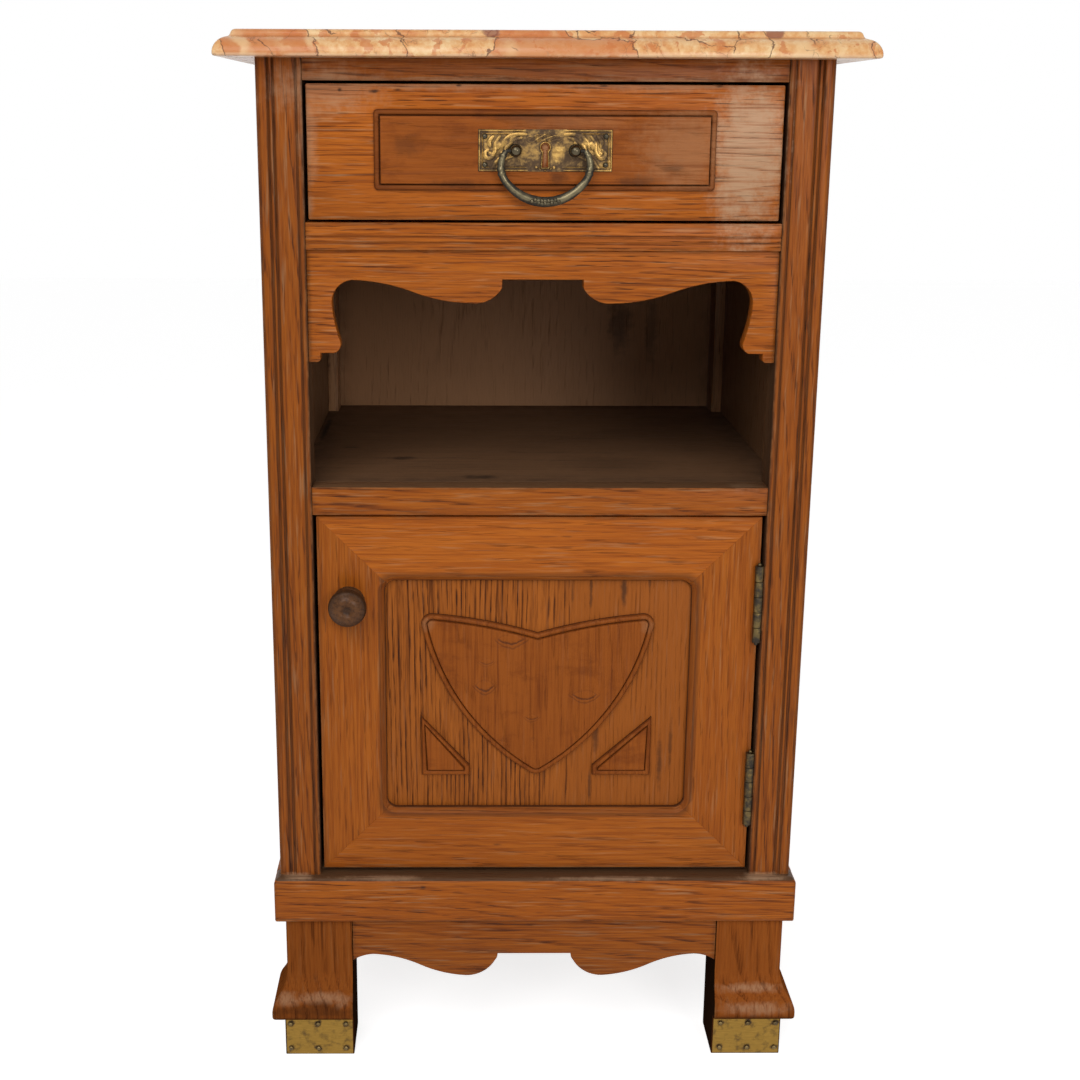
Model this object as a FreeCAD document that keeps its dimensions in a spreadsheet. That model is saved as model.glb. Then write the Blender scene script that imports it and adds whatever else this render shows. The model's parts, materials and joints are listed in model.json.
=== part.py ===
import FreeCAD, Part
import math
import os
import re
import Sketcher

# A small oak side cabinet with a marble top: a drawer, an open niche and a cupboard.
# Millimetres. The origin is on the floor under the middle of the top. +Z is up, the front faces -Y.

doc = FreeCAD.newDocument("side_cabinet")
sheet = doc.addObject("Spreadsheet::Sheet", "sizes")

sizes = [
    # marble top
    ("top_width", "450"),
    ("top_depth", "380"),
    ("top_thickness", "18"),
    ("top_overhang", "25"),
    ("top_step_inset", "13"),
    ("top_step_height", "4.5"),
    ("top_nose_radius", "11"),
    ("top_under_round", "1.5"),
    # carcass
    ("carcass_width", "400"),
    ("carcass_depth", "350"),
    ("carcass_height", "770"),
    ("post_width", "32"),
    ("post_depth", "30"),
    ("post_bead", "3.4"),
    ("post_bead_radius", "1.5"),
    ("post_groove_width", "1.2"),
    ("post_groove_depth", "1.6"),
    ("post_flat", "14.4"),
    ("post_small_bead", "2.6"),
    ("post_corner_radius", "4.5"),
    ("rear_post_width", "28"),
    ("rear_post_depth", "39"),
    ("side_panel_thickness", "10"),
    ("side_panel_inset", "9"),
    ("panel_groove", "6"),
    ("side_rail_height", "42"),
    ("side_rail_thickness", "20"),
    ("back_thickness", "9"),
    ("back_rebate", "8"),
    ("back_rail_height", "30"),
    ("back_rail_thickness", "20"),
    ("rail_recess", "2"),
    ("rail_depth", "22"),
    ("top_rail_height", "15"),
    ("top_rail_depth", "40"),
    # drawer bay
    ("divider_height", "19"),
    ("divider_groove_width", "1.2"),
    ("divider_groove_drop", "9.1"),
    ("divider_groove_spacing", "4.2"),
    ("runner_thickness", "8"),
    ("runner_width", "31"),
    ("guide_height", "25"),
    ("guide_gap", "0.4"),
    ("dust_thickness", "8"),
    # niche
    ("shelf_rise", "69.5"),
    ("shelf_thickness", "16"),
    ("strip_height", "21"),
    ("strip_depth", "20"),
    ("apron_recess", "5"),
    ("apron_thickness", "14"),
    ("apron_height", "80"),
    ("apron_notch_half", "29"),
    ("apron_notch_rise", "59.3"),
    ("apron_notch_drop", "6"),
    ("apron_lobe_reach", "22"),
    ("apron_lobe_rise", "42.5"),
    ("apron_arch_reach", "32"),
    ("apron_arch_rise", "58.8"),
    ("apron_waist", "17.5"),
    ("apron_waist_rise", "42"),
    ("apron_knee", "23"),
    ("apron_knee_rise", "15"),
    ("apron_toe_run", "4.5"),
    ("apron_toe", "8.6"),
    ("apron_toe_round", "2.6"),
    ("apron_toe_rise", "6.5"),
    # plinth, aprons and feet
    ("foot_height", "120"),
    ("plinth_height", "37"),
    ("plinth_thickness", "20"),
    ("plinth_reach", "8"),
    ("plinth_side_reach", "4"),
    ("plinth_chamfer", "3"),
    ("floor_thickness", "16"),
    ("foot_inset", "4"),
    ("foot_width", "52"),
    ("foot_depth", "45"),
    ("foot_reach", "4"),
    ("toe_reach", "12"),
    ("toe_front_reach", "9"),
    ("toe_lip", "7"),
    ("toe_round", "4"),
    ("toe_roll", "0.3"),
    ("toe_flare_height", "35"),
    ("foot_block_height", "35"),
    ("foot_block_reach", "3"),
    ("base_apron_recess", "2"),
    ("base_apron_thickness", "18"),
    ("base_apron_end", "37"),
    ("base_notch_half", "29"),
    ("base_notch_depth", "31"),
    ("base_notch_run", "2"),
    ("base_notch_drop", "6"),
    ("base_lobe_reach", "25"),
    ("base_lobe_depth", "50.5"),
    ("base_arch_reach", "17"),
    ("base_arch_depth", "31.5"),
    ("side_apron_height", "32"),
    ("side_apron_thickness", "16"),
    ("foot_plate_margin", "1"),
    ("foot_plate_thickness", "1"),
    ("foot_nail_inset", "5.5"),
    ("foot_nail_head", "2.4"),
    ("foot_nail_dome", "1.4"),
    ("foot_nail_shank", "0.9"),
    ("foot_nail_length", "12"),
    # drawer
    ("drawer_height", "92"),
    ("drawer_gap", "2"),
    ("drawer_side_gap", "2.5"),
    ("drawer_run_gap", "0.3"),
    ("drawer_front_thickness", "22"),
    ("drawer_back_gap", "6"),
    ("drawer_side_thickness", "12"),
    ("drawer_side_height", "84"),
    ("drawer_back_height", "64"),
    ("drawer_floor_thickness", "6"),
    ("drawer_floor_rise", "8"),
    ("drawer_floor_groove", "5"),
    ("tablet_width", "238"),
    ("tablet_height", "55"),
    ("tablet_thickness", "4.5"),
    ("tablet_corner", "3"),
    # bail pull and lock
    ("pull_rise", "1.8"),
    ("backplate_width", "93"),
    ("backplate_height", "28.4"),
    ("backplate_thickness", "1.5"),
    ("backplate_pin_inset", "4.6"),
    ("backplate_pin_radius", "1.5"),
    ("backplate_pin_top", "0.9"),
    ("backplate_pin_rise", "0.9"),
    ("backplate_pin_shank", "0.6"),
    ("backplate_pin_length", "4"),
    ("stud_spacing", "41"),
    ("stud_ball", "3.5"),
    ("stud_shank", "1.8"),
    ("stud_reach", "6"),
    ("bail_pin_radius", "1.25"),
    ("bail_pin_clearance", "0.06"),
    ("bail_pin_reach", "2.45"),
    ("bail_radius", "2.1"),
    ("bail_drop", "34.5"),
    ("bail_shoulder", "25.5"),
    ("bail_shoulder_rise", "11.5"),
    ("bail_end_offset", "6.8"),
    ("keyhole_rise", "2.2"),
    ("keyhole_head", "2.3"),
    ("keyhole_slot", "2"),
    ("keyhole_drop", "13.7"),
    ("lock_width", "50"),
    ("lock_height", "62"),
    ("lock_depth", "13"),
    ("lock_key_depth", "9"),
    ("bolt_width", "18"),
    ("bolt_height", "17"),
    ("bolt_thickness", "6"),
    ("bolt_offset", "3.5"),
    ("bolt_gap", "0.3"),
    ("bolt_sink", "0.5"),
    ("bolt_mortise_depth", "11"),
    # door
    ("door_recess", "5.5"),
    ("door_thickness", "22"),
    ("door_gap", "2"),
    ("door_side_gap", "2.5"),
    ("door_floor_gap", "3.5"),
    ("frame_width", "50"),
    ("frame_corner_radius", "8.5"),
    ("frame_bevel", "4"),
    ("door_panel_recess", "7"),
    ("door_panel_thickness", "8"),
    ("door_panel_groove", "8"),
    ("overlay_thickness", "5"),
    ("border_width", "5"),
    ("field_rise", "1.2"),
    ("ornament_field", "184.5"),
    ("heart_margin", "27"),
    ("heart_height", "130"),
    ("heart_notch", "15"),
    ("heart_corner", "10"),
    ("heart_corner_drop", "8"),
    ("heart_rise", "27.5"),
    ("heart_tip_reach", "5.2"),
    ("heart_tip_lift", "1.5"),
    ("triangle_margin", "27"),
    ("triangle_left_width", "37"),
    ("triangle_right_width", "45"),
    ("triangle_height", "48"),
    ("triangle_toe", "8"),
    ("triangle_rise", "26.5"),
    ("door_stop_width", "40"),
    ("door_stop_height", "18"),
    ("door_stop_depth", "12"),
    ("door_stop_gap", "0.2"),
    # knob and latch
    ("knob_inset", "23"),
    ("knob_drop", "66"),
    ("knob_radius", "13.3"),
    ("knob_length", "24"),
    ("knob_face_radius", "8.25"),
    ("knob_belly_rise", "4.6"),
    ("knob_band", "7"),
    ("knob_dish_radius", "2.2"),
    ("knob_dish_depth", "1.2"),
    ("knob_dish_bevel", "0.9"),
    ("knob_neck_radius", "6.5"),
    ("knob_neck_start", "5.76"),
    ("knob_neck_end", "2.88"),
    ("knob_flange_radius", "9"),
    ("knob_flange_thickness", "1.92"),
    ("knob_seat_gap", "0.2"),
    ("spindle_radius", "4"),
    ("spindle_clearance", "0.08"),
    ("latch_gap", "0.5"),
    ("latch_thickness", "4"),
    ("latch_length", "36"),
    ("latch_width", "15"),
    # hinges
    ("hinge_length", "60"),
    ("hinge_drop", "66.5"),
    ("hinge_rise", "68.5"),
    ("hinge_post_gap", "0.2"),
    ("hinge_face_gap", "0.4"),
    ("knuckle_radius", "3.3"),
    ("knuckle_gap", "0.3"),
    ("hinge_pin_radius", "1.6"),
    ("hinge_pin_clearance", "0.05"),
    ("hinge_ball", "1.5"),
    ("hinge_ball_sink", "0.6"),
    ("leaf_width", "20"),
    ("leaf_thickness", "1.4"),
    ("screw_spacing", "20"),
    ("screw_setback", "12"),
    ("screw_head", "2.6"),
    ("screw_shank", "1.3"),
    ("screw_sink", "1.2"),
    ("screw_length", "14"),
]

# lines and levels that follow from the sizes
places_list = [
    ("front", "-top_depth / 2 + top_overhang"),
    ("back", "front + carcass_depth"),
    ("side", "carcass_width / 2"),
    ("post_in", "side - post_width"),
    ("post_back", "front + post_depth"),
    ("rear_in", "side - rear_post_width"),
    ("rear_front", "back - rear_post_depth"),
    ("panel_out", "side - side_panel_inset"),
    ("panel_in", "panel_out - side_panel_thickness"),
    ("back_face", "back - back_thickness"),
    ("face", "front + rail_recess"),
    ("plinth_top", "foot_height + plinth_height"),
    ("plinth_front", "front - plinth_reach"),
    ("plinth_side", "side + plinth_side_reach"),
    ("rail_bottom", "carcass_height - top_rail_height"),
    ("drawer_top", "rail_bottom - drawer_gap"),
    ("drawer_low", "drawer_top - drawer_height"),
    ("divider_top", "drawer_low - drawer_gap"),
    ("divider_low", "divider_top - divider_height"),
    ("dust_top", "divider_top - runner_thickness"),
    ("shelf_level", "(plinth_top + divider_low) / 2 + shelf_rise"),
    ("apron_low", "divider_low - apron_height"),
    ("strip_low", "shelf_level - strip_height"),
    ("foot_out", "side - foot_inset"),
    ("foot_inner", "foot_out - foot_width"),
    ("foot_front", "front - foot_reach"),
    ("foot_plate_front", "foot_front - foot_plate_thickness"),
    ("drawer_half", "post_in - drawer_side_gap"),
    ("drawer_inner", "face + drawer_front_thickness"),
    ("drawer_box_in", "drawer_half - drawer_side_thickness"),
    ("drawer_side_low", "divider_top + drawer_run_gap"),
    ("drawer_floor_low", "drawer_side_low + drawer_floor_rise"),
    ("drawer_floor_top", "drawer_floor_low + drawer_floor_thickness"),
    ("drawer_end", "back_face - back_rail_thickness - drawer_back_gap"),
    ("pull_level", "(drawer_top + drawer_low) / 2 + pull_rise"),
    ("keyhole_level", "pull_level + keyhole_rise"),
    ("tablet_face", "face - tablet_thickness"),
    ("plate_face", "tablet_face - backplate_thickness"),
    ("stud_line", "plate_face - stud_reach"),
    ("bolt_front", "drawer_inner + bolt_offset"),
    ("bolt_low", "drawer_top - bolt_sink - bolt_height"),
    ("door_face", "front + door_recess"),
    ("door_back", "door_face + door_thickness"),
    ("door_half", "post_in - door_side_gap"),
    ("door_top", "strip_low - door_gap"),
    ("door_low", "plinth_top + door_floor_gap"),
    ("open_half", "door_half - frame_width"),
    ("open_top", "door_top - frame_width"),
    ("open_low", "door_low + frame_width"),
    ("panel_face", "door_face + door_panel_recess"),
    ("ornament_scale", "(open_top - open_low) / ornament_field"),
    ("heart_half_width", "open_half - heart_margin"),
    ("triangle_outer", "open_half - triangle_margin"),
    ("knob_line", "-door_half + knob_inset"),
    ("knob_level", "door_top - knob_drop"),
    ("latch_front", "max(post_back; door_back) + latch_gap"),
    ("latch_back", "latch_front + latch_thickness"),
    ("hinge_x", "post_in - hinge_post_gap - knuckle_radius"),
    ("hinge_y", "door_face - knuckle_radius - hinge_face_gap"),
    ("upper_hinge", "door_top - hinge_drop"),
    ("lower_hinge", "door_low + hinge_rise"),
]

for row, (alias, text) in enumerate(sizes, start=1):
    sheet.set(f"A{row}", alias)
    sheet.set(f"B{row}", text)
    sheet.setAlias(f"B{row}", alias)
doc.recompute()

places = doc.addObject("App::VarSet", "places")
gauge = doc.addObject("App::VarSet", "gauge")
gauge.addProperty("App::PropertyFloat", "reading")
owners = {alias: "sizes" for alias, text in sizes}


def bound(text):
    # the same text with each size or place named by the object that holds it
    def full(word):
        owner = owners.get(word.group())
        return f"{owner}.{word.group()}" if owner else word.group()
    return re.sub(r"[a-z]\w*", full, text)


for name, text in places_list:
    places.addProperty("App::PropertyFloat", name)
    places.setExpression(name, bound(text))
    owners[name] = "places"
doc.recompute()


def number(text):
    # what a text of sizes and places comes to
    gauge.setExpression("reading", bound(text))
    gauge.recompute()
    return gauge.reading


nodes = []

# how a bend is written: the tangent of a quarter of its turn
half_turn = "1"
quarter_turn = "tan(22.5)"
eighth_turn = "tan(11.25)"

# how far a cutter runs past a face, how near two lines are one line, and the most of a wall
# that a rounded edge may take
overrun = "1"
closeness = 0.001
rounding_share = "0.95"


def node(label, piece):
    # a finished sub-part, named for its file
    piece.Label = label
    nodes.append(piece)
    return piece


def move(piece, x="0", y="0", z="0"):
    for axis, text in zip("xyz", (x, y, z)):
        piece.setExpression(f"Placement.Base.{axis}", bound(text))
    return piece


def block(name, x, y, z):
    # a straight block between a low and a high place along X, Y and Z
    piece = doc.addObject("Part::Box", name)
    for side, (low, high) in zip(("Length", "Width", "Height"), (x, y, z)):
        piece.setExpression(side, bound(f"({high}) - ({low})"))
    return move(piece, x[0], y[0], z[0])


turns = {
    "x": FreeCAD.Rotation(FreeCAD.Vector(0, 1, 0), 90),
    "-x": FreeCAD.Rotation(FreeCAD.Vector(0, 1, 0), -90),
    "y": FreeCAD.Rotation(FreeCAD.Vector(1, 0, 0), -90),
    "z": FreeCAD.Rotation(),
}


def rod(name, along, radius, length, x, y, z):
    # a round rod that starts at a place and runs along an axis
    piece = doc.addObject("Part::Cylinder", name)
    piece.setExpression("Radius", bound(radius))
    piece.setExpression("Height", bound(length))
    piece.Placement.Rotation = turns[along]
    return move(piece, x, y, z)


def taper(name, along, radius, end_radius, length, x, y, z):
    piece = doc.addObject("Part::Cone", name)
    piece.setExpression("Radius1", bound(radius))
    piece.setExpression("Radius2", bound(end_radius))
    piece.setExpression("Height", bound(length))
    piece.Placement.Rotation = turns[along]
    return move(piece, x, y, z)


def ball(name, radius, x, y, z):
    piece = doc.addObject("Part::Sphere", name)
    piece.setExpression("Radius", bound(radius))
    return move(piece, x, y, z)


def group(name, pieces):
    # separate solids kept together
    piece = doc.addObject("Part::Compound", name)
    piece.Links = pieces
    return piece


def fuse(name, pieces):
    piece = doc.addObject("Part::MultiFuse", name)
    piece.Shapes = pieces
    return piece


def cut(name, base, *tools):
    # a piece let in for each of the pieces named after it
    for count, tool in enumerate(tools, start=1):
        last = count == len(tools)
        result = doc.addObject("Part::Cut", name if last else f"{name}_cut_{count}")
        result.Base = base
        result.Tool = tool
        base = result
    return base


def common(name, base, tool):
    piece = doc.addObject("Part::Common", name)
    piece.Base = base
    piece.Tool = tool
    return piece


def mirror(name, source):
    # the same piece on the other side of the middle
    piece = doc.addObject("Part::Mirroring", name)
    piece.Source = source
    piece.Normal = FreeCAD.Vector(1, 0, 0)
    return piece


def origin_plane(body, role):
    return next(part for part in body.Origin.OriginFeatures if part.Role == role)


def new_sketch(body, name, plane, offset):
    # a sketch on one of the body's own planes, moved along the axis square to it
    sketch = body.newObject("Sketcher::SketchObject", name)
    sketch.AttachmentSupport = [(origin_plane(body, f"{plane}_Plane"), "")]
    sketch.MapMode = "FlatFace"
    sign = "-" if plane == "XZ" else ""
    sketch.setExpression("AttachmentOffset.Base.z", bound(f"{sign}({offset})"))
    return sketch


def pin_point(sketch, geometry, end, x, y):
    # hold a point of a sketch at a place
    for kind, text in (("DistanceX", x), ("DistanceY", y)):
        rule = Sketcher.Constraint(kind, -1, 1, geometry, end, number(text))
        index = sketch.addConstraint(rule)
        sketch.setExpression(f"Constraints[{index}]", bound(text))


def arc_through(start, middle, end):
    # an arc drawn counter-clockwise, and whether it was given that way round
    whole = Part.Circle(start, middle, end)
    forward = (middle - start).cross(end - middle).z > 0
    first, last = (start, end) if forward else (end, start)
    low, high = [math.atan2(point.y - whole.Center.y, point.x - whole.Center.x) for point in (first, last)]
    if high < low:
        high += 2 * math.pi
    ring = Part.Circle(whole.Center, FreeCAD.Vector(0, 0, 1), whole.Radius)
    return Part.ArcOfCircle(ring, low, high), forward


def draw(sketch, outline, closed=True):
    # lines and arcs from point to point; a third text bends the stretch that leads to its point,
    # by the tangent of a quarter of its turn, positive counter-clockwise
    spot = [FreeCAD.Vector(number(step[0]), number(step[1]), 0) for step in outline]
    ends = []
    count = len(outline)
    for index in range(count if closed else count - 1):
        here, there = outline[index], outline[(index + 1) % count]
        start, finish = spot[index], spot[(index + 1) % count]
        if len(there) == 2:
            line = sketch.addGeometry(Part.LineSegment(start, finish))
            ends.append((line, 1, 2))
            continue
        bend = there[2]
        mid_x = f"(({here[0]}) + ({there[0]})) / 2 + ({bend}) / 2 * (({there[1]}) - ({here[1]}))"
        mid_y = f"(({here[1]}) + ({there[1]})) / 2 - ({bend}) / 2 * (({there[0]}) - ({here[0]}))"
        middle = FreeCAD.Vector(number(mid_x), number(mid_y), 0)
        curve, forward = arc_through(start, middle, finish)
        arc = sketch.addGeometry(curve)
        ends.append((arc, 1, 2) if forward else (arc, 2, 1))
        through = sketch.addGeometry(Part.Point(middle), True)
        pin_point(sketch, through, 1, mid_x, mid_y)
        sketch.addConstraint(Sketcher.Constraint("PointOnObject", through, 1, arc))
    for index, (geometry, start, finish) in enumerate(ends):
        pin_point(sketch, geometry, start, *outline[index][:2])
        if closed or index + 1 < len(ends):
            following, begin = ends[(index + 1) % len(ends)][:2]
            sketch.addConstraint(Sketcher.Constraint("Coincident", geometry, finish, following, begin))
    if not closed:
        pin_point(sketch, ends[-1][0], ends[-1][2], *outline[-1][:2])
    return sketch


def pad(body, sketch, name, length):
    # carry a sketch along +X, +Y or +Z
    feature = body.newObject("PartDesign::Pad", name)
    feature.Profile = sketch
    feature.Reversed = sketch.AttachmentSupport[0][0].Role == "XZ_Plane"
    feature.setExpression("Length", bound(length))
    return feature


def board(name, plane, low, high, outline):
    # a body whose outline is carried from a low to a high place
    body = doc.addObject("PartDesign::Body", name)
    sketch = draw(new_sketch(body, f"{name}_outline", plane, low), outline)
    pad(body, sketch, f"{name}_pad", f"({high}) - ({low})")
    doc.recompute()
    return body


def soften(body, kind, size, wanted):
    # round ("Fillet") or bevel ("Chamfer") the edges of a body that pass a test of their box
    base = body.Tip
    names = [f"Edge{i}" for i, edge in enumerate(base.Shape.Edges, start=1) if wanted(edge.BoundBox)]
    feature = body.newObject(f"PartDesign::{kind}", f"{body.Name}_{kind}_{len(body.Group)}")
    feature.Base = (base, names)
    feature.setExpression("Radius" if kind == "Fillet" else "Size", bound(size))
    doc.recompute()
    return body


def near(value, text):
    return abs(value - number(text)) < closeness


def rectangle(x, y):
    return [(x[0], y[0]), (x[1], y[0]), (x[1], y[1]), (x[0], y[1])]


def both(text):
    # a span that reaches as far to the left as to the right
    return f"-({text})", text


def rounded_rectangle(x, y, radius):
    return [
        (f"{x[0]} + {radius}", y[0], quarter_turn),
        (f"{x[1]} - {radius}", y[0]),
        (x[1], f"{y[0]} + {radius}", quarter_turn),
        (x[1], f"{y[1]} - {radius}"),
        (f"{x[1]} - {radius}", y[1], quarter_turn),
        (f"{x[0]} + {radius}", y[1]),
        (x[0], f"{y[1]} - {radius}", quarter_turn),
        (x[0], f"{y[0]} + {radius}"),
    ]


def mirrored(right):
    # an outline from its right half, which starts in the middle and ends there or at the top corner
    left = []
    for here, before in zip(reversed(right), reversed(right[:-1])):
        left.append((f"-({before[0]})", before[1], *here[2:]))
    if right[-1][0] != "0":
        left.insert(0, (f"-({right[-1][0]})", right[-1][1]))
    return right[1:] + left


def raised(name, face, thickness, outline):
    # a flat piece laid on a face, with a border round a field that stands higher
    border = f"{face} - {thickness} + field_rise"
    body = board(f"{name}_border", "XZ", border, face, outline)
    inset = doc.addObject("Part::Offset2D", f"{name}_inset")
    inset.Source = doc.getObject(f"{name}_border_outline")
    inset.setExpression("Value", bound("-border_width"))
    field = doc.addObject("Part::Extrusion", f"{name}_field")
    field.Base = inset
    field.DirMode = "Custom"
    field.Dir = FreeCAD.Vector(0, -1, 0)
    field.Solid = True
    field.setExpression("LengthFwd", bound("field_rise"))
    return fuse(name, [body, field])


# marble top: a slab with a rounded nose and a step on the front and both ends

top_low_step = "carcass_height + top_thickness - top_step_height"
marble = board("marble", "XY", "carcass_height", top_low_step,
               rectangle(both("top_width / 2"), both("top_depth / 2")))


def show_edge(box):
    # not an edge along the back
    return not (near(box.YMin, "top_depth / 2") and near(box.YMax, "top_depth / 2"))


nose_wall = "(top_thickness - top_step_height - top_under_round)"
soften(marble, "Fillet", f"min(top_nose_radius; {rounding_share} * {nose_wall})",
       lambda box: near(box.ZMin, top_low_step) and show_edge(box))
soften(marble, "Fillet", "top_under_round",
       lambda box: near(box.ZMax, "carcass_height") and show_edge(box))
step_sketch = draw(new_sketch(marble, "marble_step_outline", "XY", top_low_step),
                   rectangle(both("top_width / 2 - top_step_inset"),
                             ("-top_depth / 2 + top_step_inset", "top_depth / 2")))
pad(marble, step_sketch, "marble_step", "top_step_height")
node("marble_top", marble)

# side panels and posts: the panels stand in grooves of the posts and of the side top rails

panel_z = ("plinth_top", "carcass_height - side_rail_height + panel_groove")
right_panel = block("right_panel", ("panel_in", "panel_out"),
                    ("post_back - panel_groove", "rear_front + panel_groove"), panel_z)
left_panel = mirror("left_panel", right_panel)
node("right_side_panel", right_panel)
node("left_side_panel", left_panel)

groove_low = "front + post_groove_depth"
flat_start = "post_in + post_bead + post_groove_width"
flat_end = f"{flat_start} + post_flat"
small_bead = f"{flat_end} + post_groove_width"
small_bead_end = f"{small_bead} + post_small_bead"
corner_start = f"{small_bead_end} + post_groove_width"
bead_side = "front + post_small_bead / 2"
post_outline = [
    ("post_in", "post_back"),
    ("post_in", "front + post_bead_radius"),
    ("post_in + post_bead_radius", "front", quarter_turn),
    ("post_in + post_bead", "front"),
    ("post_in + post_bead", groove_low),
    (flat_start, groove_low),
    (flat_start, "front"),
    (flat_end, "front"),
    (flat_end, groove_low),
    (small_bead, groove_low),
    (small_bead, bead_side),
    (small_bead_end, bead_side, half_turn),
    (small_bead_end, groove_low),
    (corner_start, groove_low),
    (corner_start, "front"),
    ("side - post_corner_radius", "front"),
    ("side", "front + post_corner_radius", quarter_turn),
    ("side", "post_back"),
]
post_z = ("plinth_top", "carcass_height")
post_blank = board("post_blank", "XY", *post_z, post_outline)
rear_outline = [
    ("rear_in", "rear_front"),
    ("side", "rear_front"),
    ("side", "back"),
    ("rear_in + back_rebate", "back"),
    ("rear_in + back_rebate", "back_face"),
    ("rear_in", "back_face"),
]
rear_blank = board("rear_blank", "XY", *post_z, rear_outline)
rear_right = cut("rear_right", rear_blank, right_panel)
node("rear_right_post", rear_right)
node("rear_left_post", mirror("rear_left", rear_right))
four_posts = [post_blank, mirror("left_post_blank", post_blank),
              rear_blank, mirror("left_rear_blank", rear_blank)]

# top rails behind the slab's edge

side_rail_x = ("(panel_in + panel_out - side_rail_thickness) / 2",
               "(panel_in + panel_out + side_rail_thickness) / 2")
side_rail_blank = block("side_rail_blank", side_rail_x, ("post_back", "rear_front"),
                        ("carcass_height - side_rail_height", "carcass_height"))
right_rail = cut("right_rail", side_rail_blank, right_panel)
node("right_top_rail", right_rail)
node("left_top_rail", mirror("left_rail", right_rail))
node("back_top_rail", block("back_rail", both("rear_in"), ("back_face - back_rail_thickness", "back_face"),
                            ("carcass_height - back_rail_height", "carcass_height")))
node("back_panel", block("back_board", both("rear_in + back_rebate"), ("back_face", "back"), post_z))

# drawer bay: front top rail with the bolt's mortise, divider, dust board and runners with guides

bolt_half = "bolt_width / 2 + bolt_gap"
bolt_y = ("bolt_front - bolt_gap", "bolt_front + bolt_thickness + bolt_gap")
rail_blank = block("rail_blank", both("post_in"), ("face", "face + top_rail_depth"),
                   ("rail_bottom", "carcass_height"))
mortise = block("bolt_mortise", both(bolt_half), bolt_y,
                (f"rail_bottom - {overrun}", "rail_bottom + bolt_mortise_depth"))
node("front_top_rail", cut("front_rail", rail_blank, mortise))

divider_blank = block("divider_blank", both("post_in"), ("face", "face + rail_depth"),
                      ("divider_low", "divider_top"))
divider_groove_count = 2
grooves = []
for count in range(divider_groove_count):
    groove_top = f"divider_top - divider_groove_drop - {count} * divider_groove_spacing"
    grooves.append(block(f"divider_groove_{count}", both(f"post_in + {overrun}"),
                         (f"face - {overrun}", "face + divider_groove_width"),
                         (f"{groove_top} - divider_groove_width", groove_top)))
node("drawer_divider", cut("divider", divider_blank, *grooves))


def notched(name, start, low, high):
    # a board from side to side of the carcass, notched round the four posts
    blank = block(f"{name}_blank", both("panel_in"), (start, "back_face"), (low, high))
    return cut(name, blank, *four_posts)


node("dust_board", notched("dust", "face + rail_depth", "dust_top - dust_thickness", "dust_top"))
runner_y = ("post_back", "rear_front")
runner = block("runner", ("panel_in - runner_width", "panel_in"), runner_y, ("dust_top", "divider_top"))
guide = block("guide", ("drawer_half + guide_gap", "panel_in"), runner_y,
              ("divider_top", "divider_top + guide_height"))
right_runner = fuse("right_runner", [runner, guide])
node("drawer_runners", group("runners", [right_runner, mirror("left_runner", right_runner)]))

# niche: scrolled apron, shelf and front strip

lobe_bend, rise_bend, crest_bend, arch_bend, waist_bend, knee_bend = (
    "0.3", "0.09", "-0.08", "-0.4", "-0.07", "0.42")
apron_lobe = "apron_notch_half + apron_lobe_reach"
apron_right = [
    ("0", "apron_low + apron_notch_rise"),
    ("apron_notch_half", "apron_low + apron_notch_rise"),
    ("apron_notch_half", "apron_low + apron_notch_rise - apron_notch_drop"),
    (apron_lobe, "apron_low + apron_lobe_rise", lobe_bend),
    (f"({apron_lobe} + post_in - apron_arch_reach) / 2",
     "apron_low + (apron_lobe_rise + apron_arch_rise) / 2", rise_bend),
    ("post_in - apron_arch_reach", "apron_low + apron_arch_rise", crest_bend),
    ("post_in - apron_waist", "apron_low + apron_waist_rise", arch_bend),
    ("post_in - apron_knee", "apron_low + apron_knee_rise", waist_bend),
    ("post_in - apron_knee + apron_toe_run", "apron_low + apron_toe_rise", knee_bend),
    ("post_in - apron_toe", "apron_low + apron_toe_rise"),
    ("post_in - apron_toe", "apron_low + apron_toe_round"),
    ("post_in - apron_toe + apron_toe_round", "apron_low", quarter_turn),
    ("post_in", "apron_low"),
    ("post_in", "divider_low"),
]
apron = board("apron", "XZ", "front + apron_recess", "front + apron_recess + apron_thickness",
              mirrored(apron_right))
node("niche_apron", apron)
node("niche_shelf", notched("shelf", "face + strip_depth", "shelf_level - shelf_thickness", "shelf_level"))
node("shelf_edge_strip", block("strip", both("post_in"), ("face", "face + strip_depth"),
                               ("strip_low", "shelf_level")))

# plinth with a bevelled upper edge, and the cabinet floor inside it

plinth_z = ("foot_height", "plinth_top")
plinth_inner = "plinth_side - plinth_thickness"
plinth_front = board("plinth_front_board", "XY", *plinth_z,
                     rectangle(both("plinth_side"), ("plinth_front", "plinth_front + plinth_thickness")))
soften(plinth_front, "Chamfer", "plinth_chamfer",
       lambda box: near(box.ZMin, "plinth_top") and not near(box.YMin, "plinth_front + plinth_thickness"))
node("plinth_front", plinth_front)
plinth_right = board("plinth_right_board", "XY", *plinth_z,
                     rectangle((plinth_inner, "plinth_side"), ("plinth_front + plinth_thickness", "back")))
soften(plinth_right, "Chamfer", "plinth_chamfer",
       lambda box: near(box.ZMin, "plinth_top") and near(box.XMin, "plinth_side"))
node("plinth_right", plinth_right)
node("plinth_left", mirror("plinth_left_board", plinth_right))
node("plinth_back", block("plinth_back_board", both(plinth_inner),
                          ("back - plinth_thickness", "back"), plinth_z))
node("cabinet_floor", block("floor_board", both(plinth_inner),
                            ("plinth_front + plinth_thickness", "back - plinth_thickness"),
                            ("plinth_top - floor_thickness", "plinth_top")))

# feet: a straight leg that flares to a toe, over a plain block

toe_top = "foot_block_height + toe_lip"


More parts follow.
